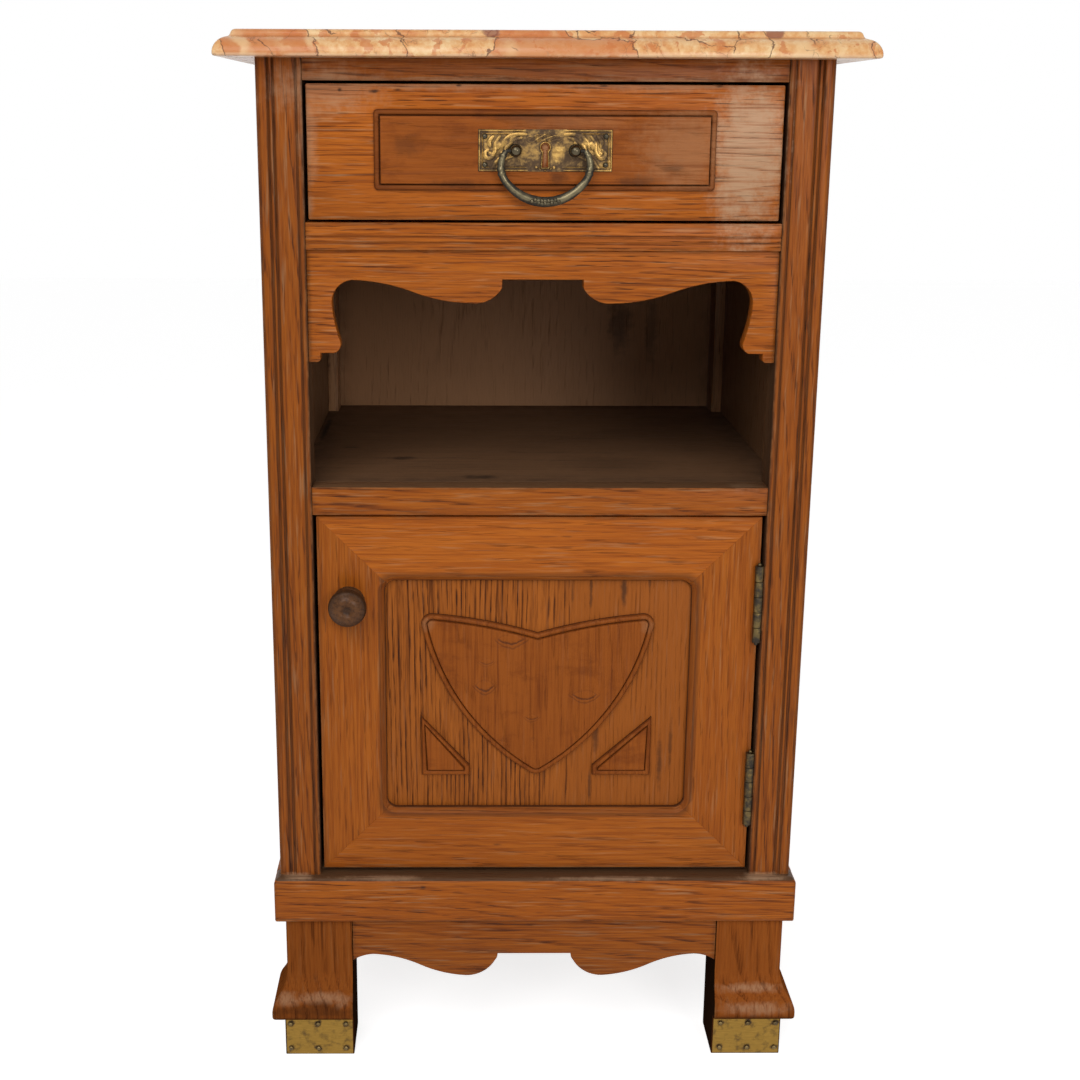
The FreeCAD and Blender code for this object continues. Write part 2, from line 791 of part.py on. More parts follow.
def foot_side(inner, outer, block_outer, reach, out, back):
    # one side of a foot, from the floor up, with the toe's roll and the flare on its outer edge;
    # out and back are the signs of the ways to the outside and to the inside
    toe = f"{outer} {out} {reach}"
    flare_bend = f"tan(atan({reach} / toe_flare_height) / 2)"
    return [
        (inner, "0"),
        (block_outer, "0"),
        (block_outer, "foot_block_height"),
        (f"{toe} {back} toe_round", "foot_block_height"),
        (toe, "foot_block_height + toe_round", f"{out}{quarter_turn}"),
        (toe, toe_top),
        (f"{toe} {back} toe_roll * {reach}", f"{toe_top} + toe_roll * toe_flare_height", f"{out}{flare_bend}"),
        (outer, f"{toe_top} + toe_flare_height", f"{back}{flare_bend}"),
        (outer, "foot_height"),
        (inner, "foot_height"),
    ]


side_view = foot_side("foot_inner", "foot_out", "foot_out + foot_block_reach", "toe_reach", "+", "-")
front_view = foot_side("foot_front + foot_depth", "foot_front", "foot_front", "toe_front_reach", "-", "+")
foot_end = "foot_front + foot_depth"
foot_blank = common("foot_blank",
                    board("foot_side_view", "XZ", "foot_front - toe_front_reach", foot_end, side_view),
                    board("foot_front_view", "YZ", "foot_inner", "foot_out + toe_reach", front_view))
rear_foot = board("rear_foot", "XZ", "back - foot_depth", "back", side_view)
node("rear_right_foot", rear_foot)
node("rear_left_foot", mirror("rear_foot_left", rear_foot))

# brass plates on the front feet, each held by two rows of dome nails

plate_x = ("foot_inner + foot_plate_margin", "foot_out + foot_block_reach - foot_plate_margin")
plate_z = ("foot_plate_margin", "foot_block_height - foot_plate_margin")
foot_plate_blank = block("foot_plate_blank", plate_x, ("foot_plate_front", "foot_front"), plate_z)
nail_columns, nail_rows = 3, 2


def nail_place(span, count, total):
    # one of several even steps along a plate, between the nails at its two ends
    low, high = span
    return f"{low} + foot_nail_inset + ({high} - {low} - 2 * foot_nail_inset) * {count} / {total - 1}"


nails = []
for across in range(nail_columns):
    for up in range(nail_rows):
        nail_x = nail_place(plate_x, across, nail_columns)
        nail_z = nail_place([f"({level})" for level in plate_z], up, nail_rows)
        shank = rod(f"nail_shank_{across}_{up}", "y", "foot_nail_shank", "foot_nail_length",
                    nail_x, "foot_plate_front", nail_z)
        dome = doc.addObject("PartDesign::Body", f"nail_dome_{across}_{up}")
        dome_sketch = draw(new_sketch(dome, f"nail_dome_outline_{across}_{up}", "XY", "0"), [
            ("0", "0"),
            ("0", "-foot_nail_dome"),
            ("foot_nail_head", "0", "tan(atan(foot_nail_dome / foot_nail_head) / 2)"),
        ])
        turned = dome.newObject("PartDesign::Revolution", f"nail_dome_turned_{across}_{up}")
        turned.Profile = dome_sketch
        turned.ReferenceAxis = (dome_sketch, ["V_Axis"])
        move(dome, nail_x, "foot_plate_front", nail_z)
        nails.append(fuse(f"nail_{across}_{up}", [dome, shank]))
right_nails = group("right_nails", nails)
left_nails = mirror("left_nails", right_nails)
right_foot = cut("right_foot", foot_blank, right_nails)
node("front_right_foot", right_foot)
node("front_left_foot", mirror("left_foot", right_foot))
right_plate = cut("right_plate", foot_plate_blank, right_nails)
node("foot_plates", group("plates", [right_plate, mirror("left_plate", right_plate)]))
node("foot_plate_nails", group("plate_nails", [right_nails, left_nails]))

# base apron between the front feet, plain aprons at the sides

base_top = "foot_height"
base_lobe = "base_notch_half + base_lobe_reach"
base_arch = "foot_inner - base_arch_reach"
notch_bend, hollow_bend, slope_bend, end_bend = "0.2", "0.28", "0.1", "-0.15"
base_right = [
    ("0", f"{base_top} - base_notch_depth"),
    ("base_notch_half", f"{base_top} - base_notch_depth"),
    ("base_notch_half + base_notch_run", f"{base_top} - base_notch_depth - base_notch_drop", notch_bend),
    (base_lobe, f"{base_top} - base_lobe_depth", hollow_bend),
    (f"({base_lobe} + {base_arch}) / 2", f"{base_top} - (base_lobe_depth + base_arch_depth) / 2", slope_bend),
    (base_arch, f"{base_top} - base_arch_depth", f"-{slope_bend}"),
    ("foot_inner", f"{base_top} - base_apron_end", end_bend),
    ("foot_inner", base_top),
]
base_front = "foot_front + base_apron_recess"
node("base_apron", board("base_board", "XZ", base_front, f"{base_front} + base_apron_thickness",
                         mirrored(base_right)))
right_apron = block("right_apron", ("foot_out - side_apron_thickness", "foot_out"),
                    (foot_end, "back - foot_depth"), ("foot_height - side_apron_height", "foot_height"))
node("side_aprons", group("aprons", [right_apron, mirror("left_apron", right_apron)]))

# drawer box

side_top = "drawer_side_low + drawer_side_height"
floor_reach = "drawer_box_in + drawer_floor_groove"
drawer_floor = block("drawer_floor", both(floor_reach), ("drawer_inner - drawer_floor_groove", "drawer_end"),
                     ("drawer_floor_low", "drawer_floor_top"))
node("drawer_bottom", drawer_floor)
right_side_blank = block("right_side_blank", ("drawer_box_in", "drawer_half"), ("drawer_inner", "drawer_end"),
                         ("drawer_side_low", side_top))
right_side = cut("drawer_right", right_side_blank, drawer_floor)
node("drawer_right_side", right_side)
node("drawer_left_side", mirror("drawer_left", right_side))
node("drawer_back", block("drawer_end_board", both("drawer_box_in"),
                          ("drawer_end - drawer_side_thickness", "drawer_end"),
                          ("drawer_floor_top", "drawer_floor_top + drawer_back_height")))

# studs of the pull: a ball with a cross hole for the bail, on a shank through the drawer front

stud_x = "stud_spacing / 2"
stud_ball = ball("stud_ball", "stud_ball", stud_x, "stud_line", "pull_level")
stud_shank = rod("stud_shank", "y", "stud_shank", "drawer_inner - stud_line",
                 stud_x, "stud_line", "pull_level")
stud_hole = rod("stud_hole", "x", "bail_pin_radius + bail_pin_clearance", "4 * stud_ball",
                f"{stud_x} - 2 * stud_ball", "stud_line", "pull_level")
right_stud = cut("right_stud", fuse("stud_blank", [stud_ball, stud_shank]), stud_hole)
studs = node("pull_studs", group("studs", [right_stud, mirror("left_stud", right_stud)]))

# small pins at the corners of the backplate

pins = []
for up in (-1, 1):
    pin_x = "backplate_width / 2 - backplate_pin_inset"
    pin_z = f"pull_level + {up} * (backplate_height / 2 - backplate_pin_inset)"
    head = taper(f"pin_head_{up + 1}", "y", "backplate_pin_top", "backplate_pin_radius", "backplate_pin_rise",
                 pin_x, "plate_face - backplate_pin_rise", pin_z)
    shank = rod(f"pin_shank_{up + 1}", "y", "backplate_pin_shank", "backplate_pin_length",
                pin_x, "plate_face", pin_z)
    pins.append(fuse(f"pin_{up + 1}", [head, shank]))
right_pins = group("right_pins", pins)
plate_pins = node("backplate_pins", group("plate_pins", [right_pins, mirror("left_pins", right_pins)]))

# keyhole through the backplate, the tablet and the drawer front into the lock

key_end = "drawer_inner + lock_key_depth"
key_start = f"plate_face - {overrun}"
key_length = f"{key_end} - ({key_start})"
keyhole = fuse("keyhole", [
    rod("keyhole_head", "y", "keyhole_head", key_length, "0", key_start, "keyhole_level"),
    block("keyhole_slot", both("keyhole_slot / 2"), (key_start, key_end),
          ("keyhole_level - keyhole_drop", "keyhole_level")),
])
front_blank = block("front_blank", both("drawer_half"), ("face", "drawer_inner"),
                    ("drawer_low", "drawer_top"))
node("drawer_front", cut("drawer_face", front_blank, drawer_floor, studs, keyhole))
tablet_z = ("pull_level - tablet_height / 2", "pull_level + tablet_height / 2")
tablet_blank = raised("tablet_blank", "face", "tablet_thickness",
                      rounded_rectangle(both("tablet_width / 2"), tablet_z, "tablet_corner"))
node("drawer_tablet", cut("tablet", tablet_blank, studs, plate_pins, keyhole))
plate_blank = block("plate_blank", both("backplate_width / 2"), ("plate_face", "tablet_face"),
                    ("pull_level - backplate_height / 2", "pull_level + backplate_height / 2"))
node("pull_backplate", cut("backplate", plate_blank, studs, plate_pins, keyhole))

# lock on the back of the drawer front, with a bolt that rises into the top rail

bolt = block("bolt", both("bolt_width / 2"), ("bolt_front", "bolt_front + bolt_thickness"),
             ("bolt_low", "bolt_low + bolt_height"))
node("lock_bolt", bolt)
case_blank = block("case_blank", both("lock_width / 2"), ("drawer_inner", "drawer_inner + lock_depth"),
                   ("drawer_top - lock_height", "drawer_top"))
bolt_way = block("bolt_way", both(bolt_half), bolt_y, ("bolt_low - bolt_gap", f"drawer_top + {overrun}"))
node("lock_case", cut("case", case_blank, bolt_way, keyhole))

# bail: a bent rod whose ends turn in to pins in the studs

bail = doc.addObject("PartDesign::Body", "bail")
bail_low = "pull_level - bail_drop"
bail_end = f"{stud_x} + bail_end_offset"
shoulder_turn = "atan(bail_shoulder_rise / bail_shoulder)"
upper_chord = f"atan2(bail_drop - bail_shoulder_rise; {bail_end} - bail_shoulder)"
bail_path = draw(new_sketch(bail, "bail_path", "XZ", "stud_line"), [
    ("0", bail_low),
    ("bail_shoulder", f"{bail_low} + bail_shoulder_rise", f"tan({shoulder_turn} / 2)"),
    (bail_end, "pull_level", f"tan(({upper_chord} - 2 * {shoulder_turn}) / 2)"),
], closed=False)
bail_section = new_sketch(bail, "bail_section", "YZ", "0")
bail_section.addGeometry(Part.Circle(FreeCAD.Vector(number("stud_line"), number(bail_low), 0),
                                     FreeCAD.Vector(0, 0, 1), number("bail_radius")))
pin_point(bail_section, 0, 3, "stud_line", bail_low)
size_rule = bail_section.addConstraint(Sketcher.Constraint("Radius", 0, number("bail_radius")))
bail_section.setExpression(f"Constraints[{size_rule}]", bound("bail_radius"))
doc.recompute()
bail_half = bail.newObject("PartDesign::AdditivePipe", "bail_half")
bail_half.Profile = bail_section
bail_half.Spine = (bail_path, ["Edge1", "Edge2"])
doc.recompute()
bail_mirror = bail.newObject("PartDesign::Mirrored", "bail_mirror")
bail_mirror.Originals = [bail_half]
bail_mirror.MirrorPlane = (origin_plane(bail, "YZ_Plane"), [""])
bail.Tip = bail_mirror
right_bail_pin = rod("right_bail_pin", "x", "bail_pin_radius", "bail_end_offset + bail_pin_reach",
                     f"{stud_x} - bail_pin_reach", "stud_line", "pull_level")
node("pull_bail", fuse("bail_whole", [bail, right_bail_pin, mirror("left_bail_pin", right_bail_pin)]))

# door panel with the heart and the triangles laid on it; their heights follow the panel's height

panel_reach = "open_half + door_panel_groove"
door_board = block("door_board", both(panel_reach), ("panel_face", "panel_face + door_panel_thickness"),
                   ("open_low - door_panel_groove", "open_top + door_panel_groove"))
node("door_panel", door_board)
heart_tip = "open_low + ornament_scale * heart_rise"
heart_top = f"{heart_tip} + ornament_scale * heart_height"
side_bend, shoulder_bend, crown_bend = "0.205", "0.45", "0.05"
heart_right = [
    ("0", heart_tip),
    ("heart_tip_reach", f"{heart_tip} + heart_tip_lift", "tan(atan(heart_tip_lift / heart_tip_reach) / 2)"),
    ("heart_half_width", f"{heart_top} - ornament_scale * heart_corner_drop", side_bend),
    ("heart_half_width - heart_corner", heart_top, shoulder_bend),
    ("0", f"{heart_top} - ornament_scale * heart_notch", crown_bend),
]
node("heart_overlay", raised("heart", "panel_face", "overlay_thickness", mirrored(heart_right)))
triangle_low = "open_low + ornament_scale * triangle_rise"
triangles = []
for label, sign, width in (("left", "-", "triangle_left_width"), ("right", "", "triangle_right_width")):
    corner = f"{sign}triangle_outer"
    toe = f"{sign}(triangle_outer - {width})"
    outline = [
        (corner, triangle_low),
        (toe, triangle_low),
        (toe, f"{triangle_low} + ornament_scale * triangle_toe"),
        (corner, f"{triangle_low} + ornament_scale * triangle_height"),
    ]
    triangles.append(raised(f"triangle_{label}", "panel_face", "overlay_thickness", outline))
node("triangle_overlays", group("triangles", triangles))

# hinges: two leaves with interlocking knuckles on a ball-tipped pin

knuckle_count = 5
post_screws = []
door_screws = []
hinge_pins = []
door_leaves = []


def screw(name, along, x, z):
    # a countersunk screw, sunk flush from a leaf's face into the wood behind it
    y = "hinge_y + screw_setback"
    head = taper(f"{name}_head", along, "screw_head", "screw_shank", "screw_sink", x, y, z)
    shank = rod(f"{name}_shank", along, "screw_shank", "screw_length", x, y, z)
    return fuse(name, [head, shank])


def leaf(name, x, middle, own):
    # a leaf with its own knuckles, cleared round the knuckles of the other leaf
    pitch = f"hinge_length / {knuckle_count}"
    low = f"{middle} - hinge_length / 2"
    plate = block(f"{name}_plate", x, ("hinge_y", "hinge_y + leaf_width"), (low, f"{low} + hinge_length"))
    knuckles = []
    spaces = []
    for index in range(knuckle_count):
        start = f"{low} + {index} * {pitch}"
        if index % 2 == own:
            knuckles.append(rod(f"{name}_knuckle_{index}", "z", "knuckle_radius", f"{pitch} - knuckle_gap",
                                "hinge_x", "hinge_y", f"{start} + knuckle_gap / 2"))
        else:
            spaces.append(rod(f"{name}_space_{index}", "z", "knuckle_radius + knuckle_gap",
                              f"{pitch} + knuckle_gap", "hinge_x", "hinge_y", f"{start} - knuckle_gap / 2"))
    bore = rod(f"{name}_bore", "z", "hinge_pin_radius + hinge_pin_clearance", f"hinge_length + 2 * {overrun}",
               "hinge_x", "hinge_y", f"{low} - {overrun}")
    cleared = cut(f"{name}_cleared", plate, group(f"{name}_spaces", spaces))
    return cut(f"{name}_bored", fuse(f"{name}_blank", [cleared, *knuckles]), bore)


for label, middle in (("upper", "upper_hinge"), ("lower", "lower_hinge")):
    post_face = "post_in - leaf_thickness"
    own_post_screws = []
    own_door_screws = []
    for count in (-1, 0, 1):
        level = f"{middle} + {count} * screw_spacing"
        own_post_screws.append(screw(f"{label}_post_screw_{count + 1}", "x", post_face, level))
        own_door_screws.append(screw(f"{label}_door_screw_{count + 1}", "-x", "door_half", level))
    post_group = group(f"{label}_post_screws", own_post_screws)
    door_group = group(f"{label}_door_screws", own_door_screws)
    post_blade = leaf(f"{label}_fixed", (post_face, "post_in"), middle, 0)
    door_blade = leaf(f"{label}_swing", ("door_half - leaf_thickness", "door_half"), middle, 1)
    post_leaf = cut(f"{label}_post_leaf", post_blade, post_group)
    door_leaf = cut(f"{label}_door_leaf", door_blade, door_group)
    node(f"{label}_hinge_post_leaf", post_leaf)
    node(f"{label}_hinge_door_leaf", door_leaf)
    post_screws.append(post_group)
    door_screws.append(door_group)
    door_leaves.append(door_leaf)
    tips = [ball(f"{label}_tip_{end + 1}", "hinge_ball", "hinge_x", "hinge_y",
                 f"{middle} + {end} * (hinge_length / 2 + hinge_ball - hinge_ball_sink)") for end in (-1, 1)]
    pin = rod(f"{label}_pin", "z", "hinge_pin_radius", "hinge_length", "hinge_x", "hinge_y",
              f"{middle} - hinge_length / 2")
    hinge_pins.append(fuse(f"{label}_hinge_pin", [pin, *tips]))
node("hinge_pins", group("pins", hinge_pins))
node("hinge_post_screws", group("post_screws", post_screws))
node("hinge_door_screws", group("door_screws", door_screws))

# the front posts, let in for the side panels and the hinge screws

right_post = cut("right_post", post_blank, right_panel, group("post_screw_holes", post_screws))
node("front_right_post", right_post)
node("front_left_post", mirror("left_post", cut("left_post_source", post_blank, right_panel)))

# door frame, mitred at the corners, bevelled round its opening

corner_shift = "frame_corner_radius * (1 - cos(45))"


def frame_member(name, outline):
    body = board(name, "XZ", "door_face", "door_back", outline)
    half, low, high = number("open_half"), number("open_low"), number("open_top")

    def opening_edge(box):
        flat = near(box.YMax, "door_face")
        inside = box.XMin > -half - closeness and box.XMax < half + closeness
        level = box.ZMin > low - closeness and box.ZMax < high + closeness
        return flat and inside and level
    return soften(body, "Chamfer", "frame_bevel", opening_edge)


def stile_outline(sign):
    inner = f"{sign}open_half"
    arc_x = f"{sign}(open_half - {corner_shift})"
    bend = eighth_turn if sign else f"-{eighth_turn}"
    return [
        (f"{sign}door_half", "door_low"),
        (f"{sign}door_half", "door_top"),
        (arc_x, f"open_top - {corner_shift}"),
        (inner, "open_top - frame_corner_radius", bend),
        (inner, "open_low + frame_corner_radius"),
        (arc_x, f"open_low + {corner_shift}", bend),
    ]


def rail_outline(outer, inner, sign):
    bend = f"{sign}{eighth_turn}"
    level = f"{inner} - ({sign}1) * {corner_shift}"
    arc_x = f"open_half - {corner_shift}"
    return [
        ("-door_half", outer),
        ("door_half", outer),
        (arc_x, level),
        ("open_half - frame_corner_radius", inner, bend),
        ("-(open_half - frame_corner_radius)", inner),
        (f"-({arc_x})", level, bend),
    ]


left_stile = frame_member("left_stile_blank", stile_outline("-"))
right_stile = frame_member("right_stile_blank", stile_outline(""))
top_member = frame_member("top_member_blank", rail_outline("door_top", "open_top", ""))
bottom_member = frame_member("bottom_member_blank", rail_outline("door_low", "open_low", "-"))
spindle_hole = rod("spindle_hole", "y", "spindle_radius + spindle_clearance",
                   f"door_thickness + 2 * {overrun}", "knob_line", f"door_face - {overrun}", "knob_level")
node("door_left_stile", cut("left_stile", left_stile, door_board, spindle_hole))
node("door_right_stile", cut("right_stile", right_stile, door_board, *door_leaves,
                             group("door_screw_holes", door_screws)))
node("door_top_rail", cut("top_member", top_member, door_board))
node("door_bottom_rail", cut("bottom_member", bottom_member, door_board))
shelf_under = "shelf_level - shelf_thickness"
node("door_stop", block("stop", ("-door_half", "-door_half + door_stop_width"),
                        ("door_back + door_stop_gap", "door_back + door_stop_gap + door_stop_depth"),
                        (f"{shelf_under} - door_stop_height", shelf_under)))

# turned knob on a spindle through the stile, and the tongue that it turns behind the post

knob = doc.addObject("PartDesign::Body", "knob")
knob_seat = "door_face - knob_seat_gap"
knob_tip = "door_face - knob_length"
brow_bend, belly_bend = "0.36", "0.3"
knob_outline = draw(new_sketch(knob, "knob_outline", "XY", "0"), [
    ("0", "latch_back"),
    ("0", f"{knob_tip} + knob_dish_depth"),
    ("knob_dish_radius", f"{knob_tip} + knob_dish_depth"),
    ("knob_dish_radius + knob_dish_bevel", knob_tip),
    ("knob_face_radius", knob_tip),
    ("knob_radius", f"{knob_tip} + knob_belly_rise", brow_bend),
    ("knob_radius", f"{knob_tip} + knob_belly_rise + knob_band"),
    ("knob_neck_radius", f"{knob_seat} - knob_neck_start", belly_bend),
    ("knob_neck_radius", f"{knob_seat} - knob_neck_end"),
    ("knob_flange_radius", f"{knob_seat} - knob_flange_thickness"),
    ("knob_flange_radius", knob_seat),
    ("spindle_radius", knob_seat),
    ("spindle_radius", "latch_back"),
])
knob_turned = knob.newObject("PartDesign::Revolution", "knob_turned")
knob_turned.Profile = knob_outline
knob_turned.ReferenceAxis = (knob_outline, ["V_Axis"])
move(knob, "knob_line", "0", "knob_level")
doc.recompute()
node("door_knob", knob)
tongue_blank = block("tongue_blank", ("knob_line - latch_width / 2", "knob_line + latch_width / 2"),
                     ("latch_front", "latch_back"),
                     ("knob_level - latch_length", "knob_level + latch_width / 2"))
node("latch_tongue", cut("tongue", tongue_blank, knob))

# check every piece, then write it

doc.recompute()
for piece in doc.Objects:
    if "Invalid" in piece.State or "Error" in piece.State:
        raise RuntimeError(f"{piece.Name} failed: {piece.State}")
for piece in nodes:
    if piece.Shape.isNull() or not piece.Shape.isValid():
        raise RuntimeError(f"{piece.Label} has no valid shape")
os.makedirs("parts", exist_ok=True)
for piece in nodes:
    piece.Shape.exportStep(f"parts/{piece.Label}.step")
    box = piece.Shape.BoundBox
    print(piece.Label, len(piece.Shape.Solids), round(piece.Shape.Volume, 1),
          [round(v, 2) for v in (box.XMin, box.XMax, box.YMin, box.YMax, box.ZMin, box.ZMax)])
print(len(nodes), "sub-parts written")
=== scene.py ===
import json
import math
import random

import bmesh
import bpy
import numpy as np
from mathutils import Matrix, Vector


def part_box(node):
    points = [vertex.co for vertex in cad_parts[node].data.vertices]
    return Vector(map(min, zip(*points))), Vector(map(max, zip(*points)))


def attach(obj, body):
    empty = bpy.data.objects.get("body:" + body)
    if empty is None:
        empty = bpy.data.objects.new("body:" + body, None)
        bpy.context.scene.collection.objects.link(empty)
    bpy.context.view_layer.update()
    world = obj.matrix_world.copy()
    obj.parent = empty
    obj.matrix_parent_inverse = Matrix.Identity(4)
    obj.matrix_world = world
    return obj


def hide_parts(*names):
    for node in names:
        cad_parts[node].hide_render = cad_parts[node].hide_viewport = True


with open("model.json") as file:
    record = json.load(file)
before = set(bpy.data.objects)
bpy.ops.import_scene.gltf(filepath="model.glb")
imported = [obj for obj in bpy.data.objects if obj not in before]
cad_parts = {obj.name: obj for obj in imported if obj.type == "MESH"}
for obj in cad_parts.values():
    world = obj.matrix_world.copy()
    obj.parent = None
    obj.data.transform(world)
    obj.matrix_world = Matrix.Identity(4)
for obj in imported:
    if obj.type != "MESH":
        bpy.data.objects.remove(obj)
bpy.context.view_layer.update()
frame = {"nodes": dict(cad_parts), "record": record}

nodes = frame["nodes"]
bodyOf = {node: body for body, members in frame["record"]["behaviour"]["bodies"].items() for node in members}
slotOf = {part["node"]: part["material_slot"] for part in frame["record"]["subparts"]}
mm = 0.001
tiny = 0.001 * mm        # points nearer than this are one point
scene = bpy.context.scene
chance = random.Random(11)
print("frame loaded:", len(nodes), "nodes")


# small helpers for node trees

class Value:
    # an output in a node tree that sums can be done with
    def __init__(self, socket):
        self.socket = socket
        self.tree = socket.id_data

    def __add__(self, other):
        return calc("ADD", self, other)

    def __sub__(self, other):
        return calc("SUBTRACT", self, other)

    def __rsub__(self, other):
        return calc("SUBTRACT", other, self)

    def __mul__(self, other):
        return calc("MULTIPLY", self, other)

    def __truediv__(self, other):
        return calc("DIVIDE", self, other)

    __radd__ = __add__
    __rmul__ = __mul__


def put(tree, kind, sockets=None, **settings):
    node = tree.nodes.new(kind)
    for name, value in settings.items():
        setattr(node, name, value)
    for key, value in (sockets or {}).items():
        if isinstance(value, Value):
            tree.links.new(value.socket, node.inputs[key])
        else:
            node.inputs[key].default_value = value
    return node


def made(tree, kind, sockets, output=0, **settings):
    return Value(put(tree, kind, sockets, **settings).outputs[output])


def link(value, socket):
    value.tree.links.new(value.socket, socket)


def treeOf(*values):
    return next(value.tree for value in values if isinstance(value, Value))


def calc(operation, *values):
    return made(treeOf(*values), "ShaderNodeMath", dict(enumerate(values)), operation=operation)


def largest(*values):
    return values[0] if len(values) == 1 else calc("MAXIMUM", values[0], largest(*values[1:]))


def vectorCalc(operation, first, second):
    return made(first.tree, "ShaderNodeVectorMath", {0: first, 1: second}, operation=operation)


def parts(value, kind="XYZ"):
    return [Value(output) for output in put(value.tree, f"ShaderNodeSeparate{kind}", {0: value}).outputs[:3]]


def ranged(value, low, high, toLow=0.0, toHigh=1.0):
    sockets = {"Value": value, "From Min": low, "From Max": high, "To Min": toLow, "To Max": toHigh}
    return made(value.tree, "ShaderNodeMapRange", sockets, interpolation_type="SMOOTHSTEP")


def blended(factor, *colours):
    first, second = (colour if isinstance(colour, Value) else (*colour, 1.0) for colour in colours)
    tree = treeOf(factor, *colours)
    return made(tree, "ShaderNodeMix", {0: factor, 6: first, 7: second}, 2, data_type="RGBA")


def ramp(value, stops):
    node = put(value.tree, "ShaderNodeValToRGB", {"Fac": value})
    band = node.color_ramp
    while len(band.elements) < len(stops):
        band.elements.new(0.5)
    for element, (place, colour) in zip(band.elements, stops):
        element.position = place
        element.color = (*colour, 1.0)
    return Value(node.outputs["Color"])


def noiseAt(vector, scale, detail=2.0, output="Fac", rough=0.5):
    sockets = {"Vector": vector, "Scale": scale, "Detail": detail, "Roughness": rough}
    return made(vector.tree, "ShaderNodeTexNoise", sockets, output)


def stretchedNoise(vector, stretch, detail, output="Fac"):
    return noiseAt(vectorCalc("MULTIPLY", vector, stretch), 1.0, detail, output)


def attributeOf(tree, name, output="Fac"):
    return made(tree, "ShaderNodeAttribute", {}, output, attribute_name=name)


def placeIn(tree):
    return made(tree, "ShaderNodeTexCoord", {}, "Object")


def newGroup(name, inputs, outputs, outKind="Float", treeKind="ShaderNodeTree"):
    group = bpy.data.node_groups.new(name, treeKind)
    for label, kind, value in inputs:
        socket = group.interface.new_socket(label, in_out="INPUT", socket_type=f"NodeSocket{kind}")
        if value is not None:
            socket.default_value = value
    for label in outputs:
        group.interface.new_socket(label, in_out="OUTPUT", socket_type=f"NodeSocket{outKind}")
    given = {socket.name: Value(socket) for socket in put(group, "NodeGroupInput").outputs if socket.name}
    return group, given, put(group, "NodeGroupOutput").inputs


def used(tree, group, sockets):
    # the outputs of a shared effect
    node = put(tree, "ShaderNodeGroup", sockets, node_tree=group)
    return {socket.name: Value(socket) for socket in node.outputs}


def newMaterial(name):
    material = bpy.data.materials.new(name)
    material.use_nodes = True
    tree = material.node_tree
    return material, tree, tree.nodes["Principled BSDF"].inputs


def dress(surface, colour, rough, height, depth, **constants):
    # the linked sockets of a surface, then those with one value
    link(colour, surface["Base Color"])
    link(rough, surface["Roughness"])
    link(made(height.tree, "ShaderNodeBump", {"Height": height, "Distance": depth * mm}), surface["Normal"])
    for label, value in constants.items():
        surface[label.replace("_", " ")].default_value = value


# shared effects: oak figure, nearness to a board's edges, patina, ragged spots

# noise to the metre along the grain, across it and into the board, and what each part adds to the figure
oakNoise = {"drift": (3.0, 9.0, 9.0), "patch": (15.0, 110.0, 110.0), "fibre": (16.0, 600.0, 600.0),
            "streak": (4.0, 120.0, 120.0), "thin": (18.0, 520.0, 520.0), "pore": (55.0, 1150.0, 1150.0),
            "broad": (2.2, 20.0, 20.0)}
oakShare = {"fibre": 0.38, "streak": 0.17, "thin": 0.26}


def makeOakFigure():
    inputs = [("Grain", "Vector", None), ("Ring Gap", "Float", 0.003), ("Ring", "Float", 0.3),
              ("Tilt", "Float", 0.06), ("Wobble", "Float", 0.006)]
    group, given, result = newGroup("oakFigure", inputs, ["Figure", "Pore", "Broad", "Height"])
    grain = given["Grain"]
    along = parts(grain)
    wander = parts(stretchedNoise(grain, oakNoise["drift"], 2.0, "Color"))[:2]
    drift = [(part - 0.5) * given["Wobble"] for part in wander]
    side = along[1] + drift[0]
    deep = along[0] * given["Tilt"] + along[2] + drift[1]
    ring = calc("FRACT", calc("SQRT", side * side + deep * deep) / given["Ring Gap"])
    early = ranged(ring, 0.0, 0.1) * ranged(ring, 0.12, 0.55, 1.0, 0.0)
    early = early * ranged(stretchedNoise(grain, oakNoise["patch"], 2.0), 0.34, 0.64, 0.1, 1.0)
    fibre = ranged(stretchedNoise(grain, oakNoise["fibre"], 4.0), 0.32, 0.68)
    streak = ranged(stretchedNoise(grain, oakNoise["streak"], 2.0), 0.3, 0.7)
    thin = ranged(stretchedNoise(grain, oakNoise["thin"], 2.0), 0.57, 0.64)
    pore = ranged(stretchedNoise(grain, oakNoise["pore"], 1.0), 0.52, 0.62) * (early * 0.9 + 0.25)
    figure = early * given["Ring"] + thin * oakShare["thin"] + fibre * oakShare["fibre"]
    figure = figure + streak * oakShare["streak"]
    link(figure, result["Figure"])
    link(pore, result["Pore"])
    link(stretchedNoise(grain, oakNoise["broad"], 3.0), result["Broad"])
    link(pore * -0.8 + figure * -0.35, result["Height"])
    return group


def makeEdgeNear():
    inputs = [("Place", "Vector", None), ("Low", "Vector", None), ("High", "Vector", None)]
    group, given, result = newGroup("edgeNear", inputs, ["Distance"])
    above = vectorCalc("SUBTRACT", given["Place"], given["Low"])
    below = vectorCalc("SUBTRACT", given["High"], given["Place"])
    x, y, z = parts(vectorCalc("MINIMUM", above, below))
    link(largest(calc("MINIMUM", x, y), calc("MINIMUM", largest(x, y), z)), result["Distance"])
    return group


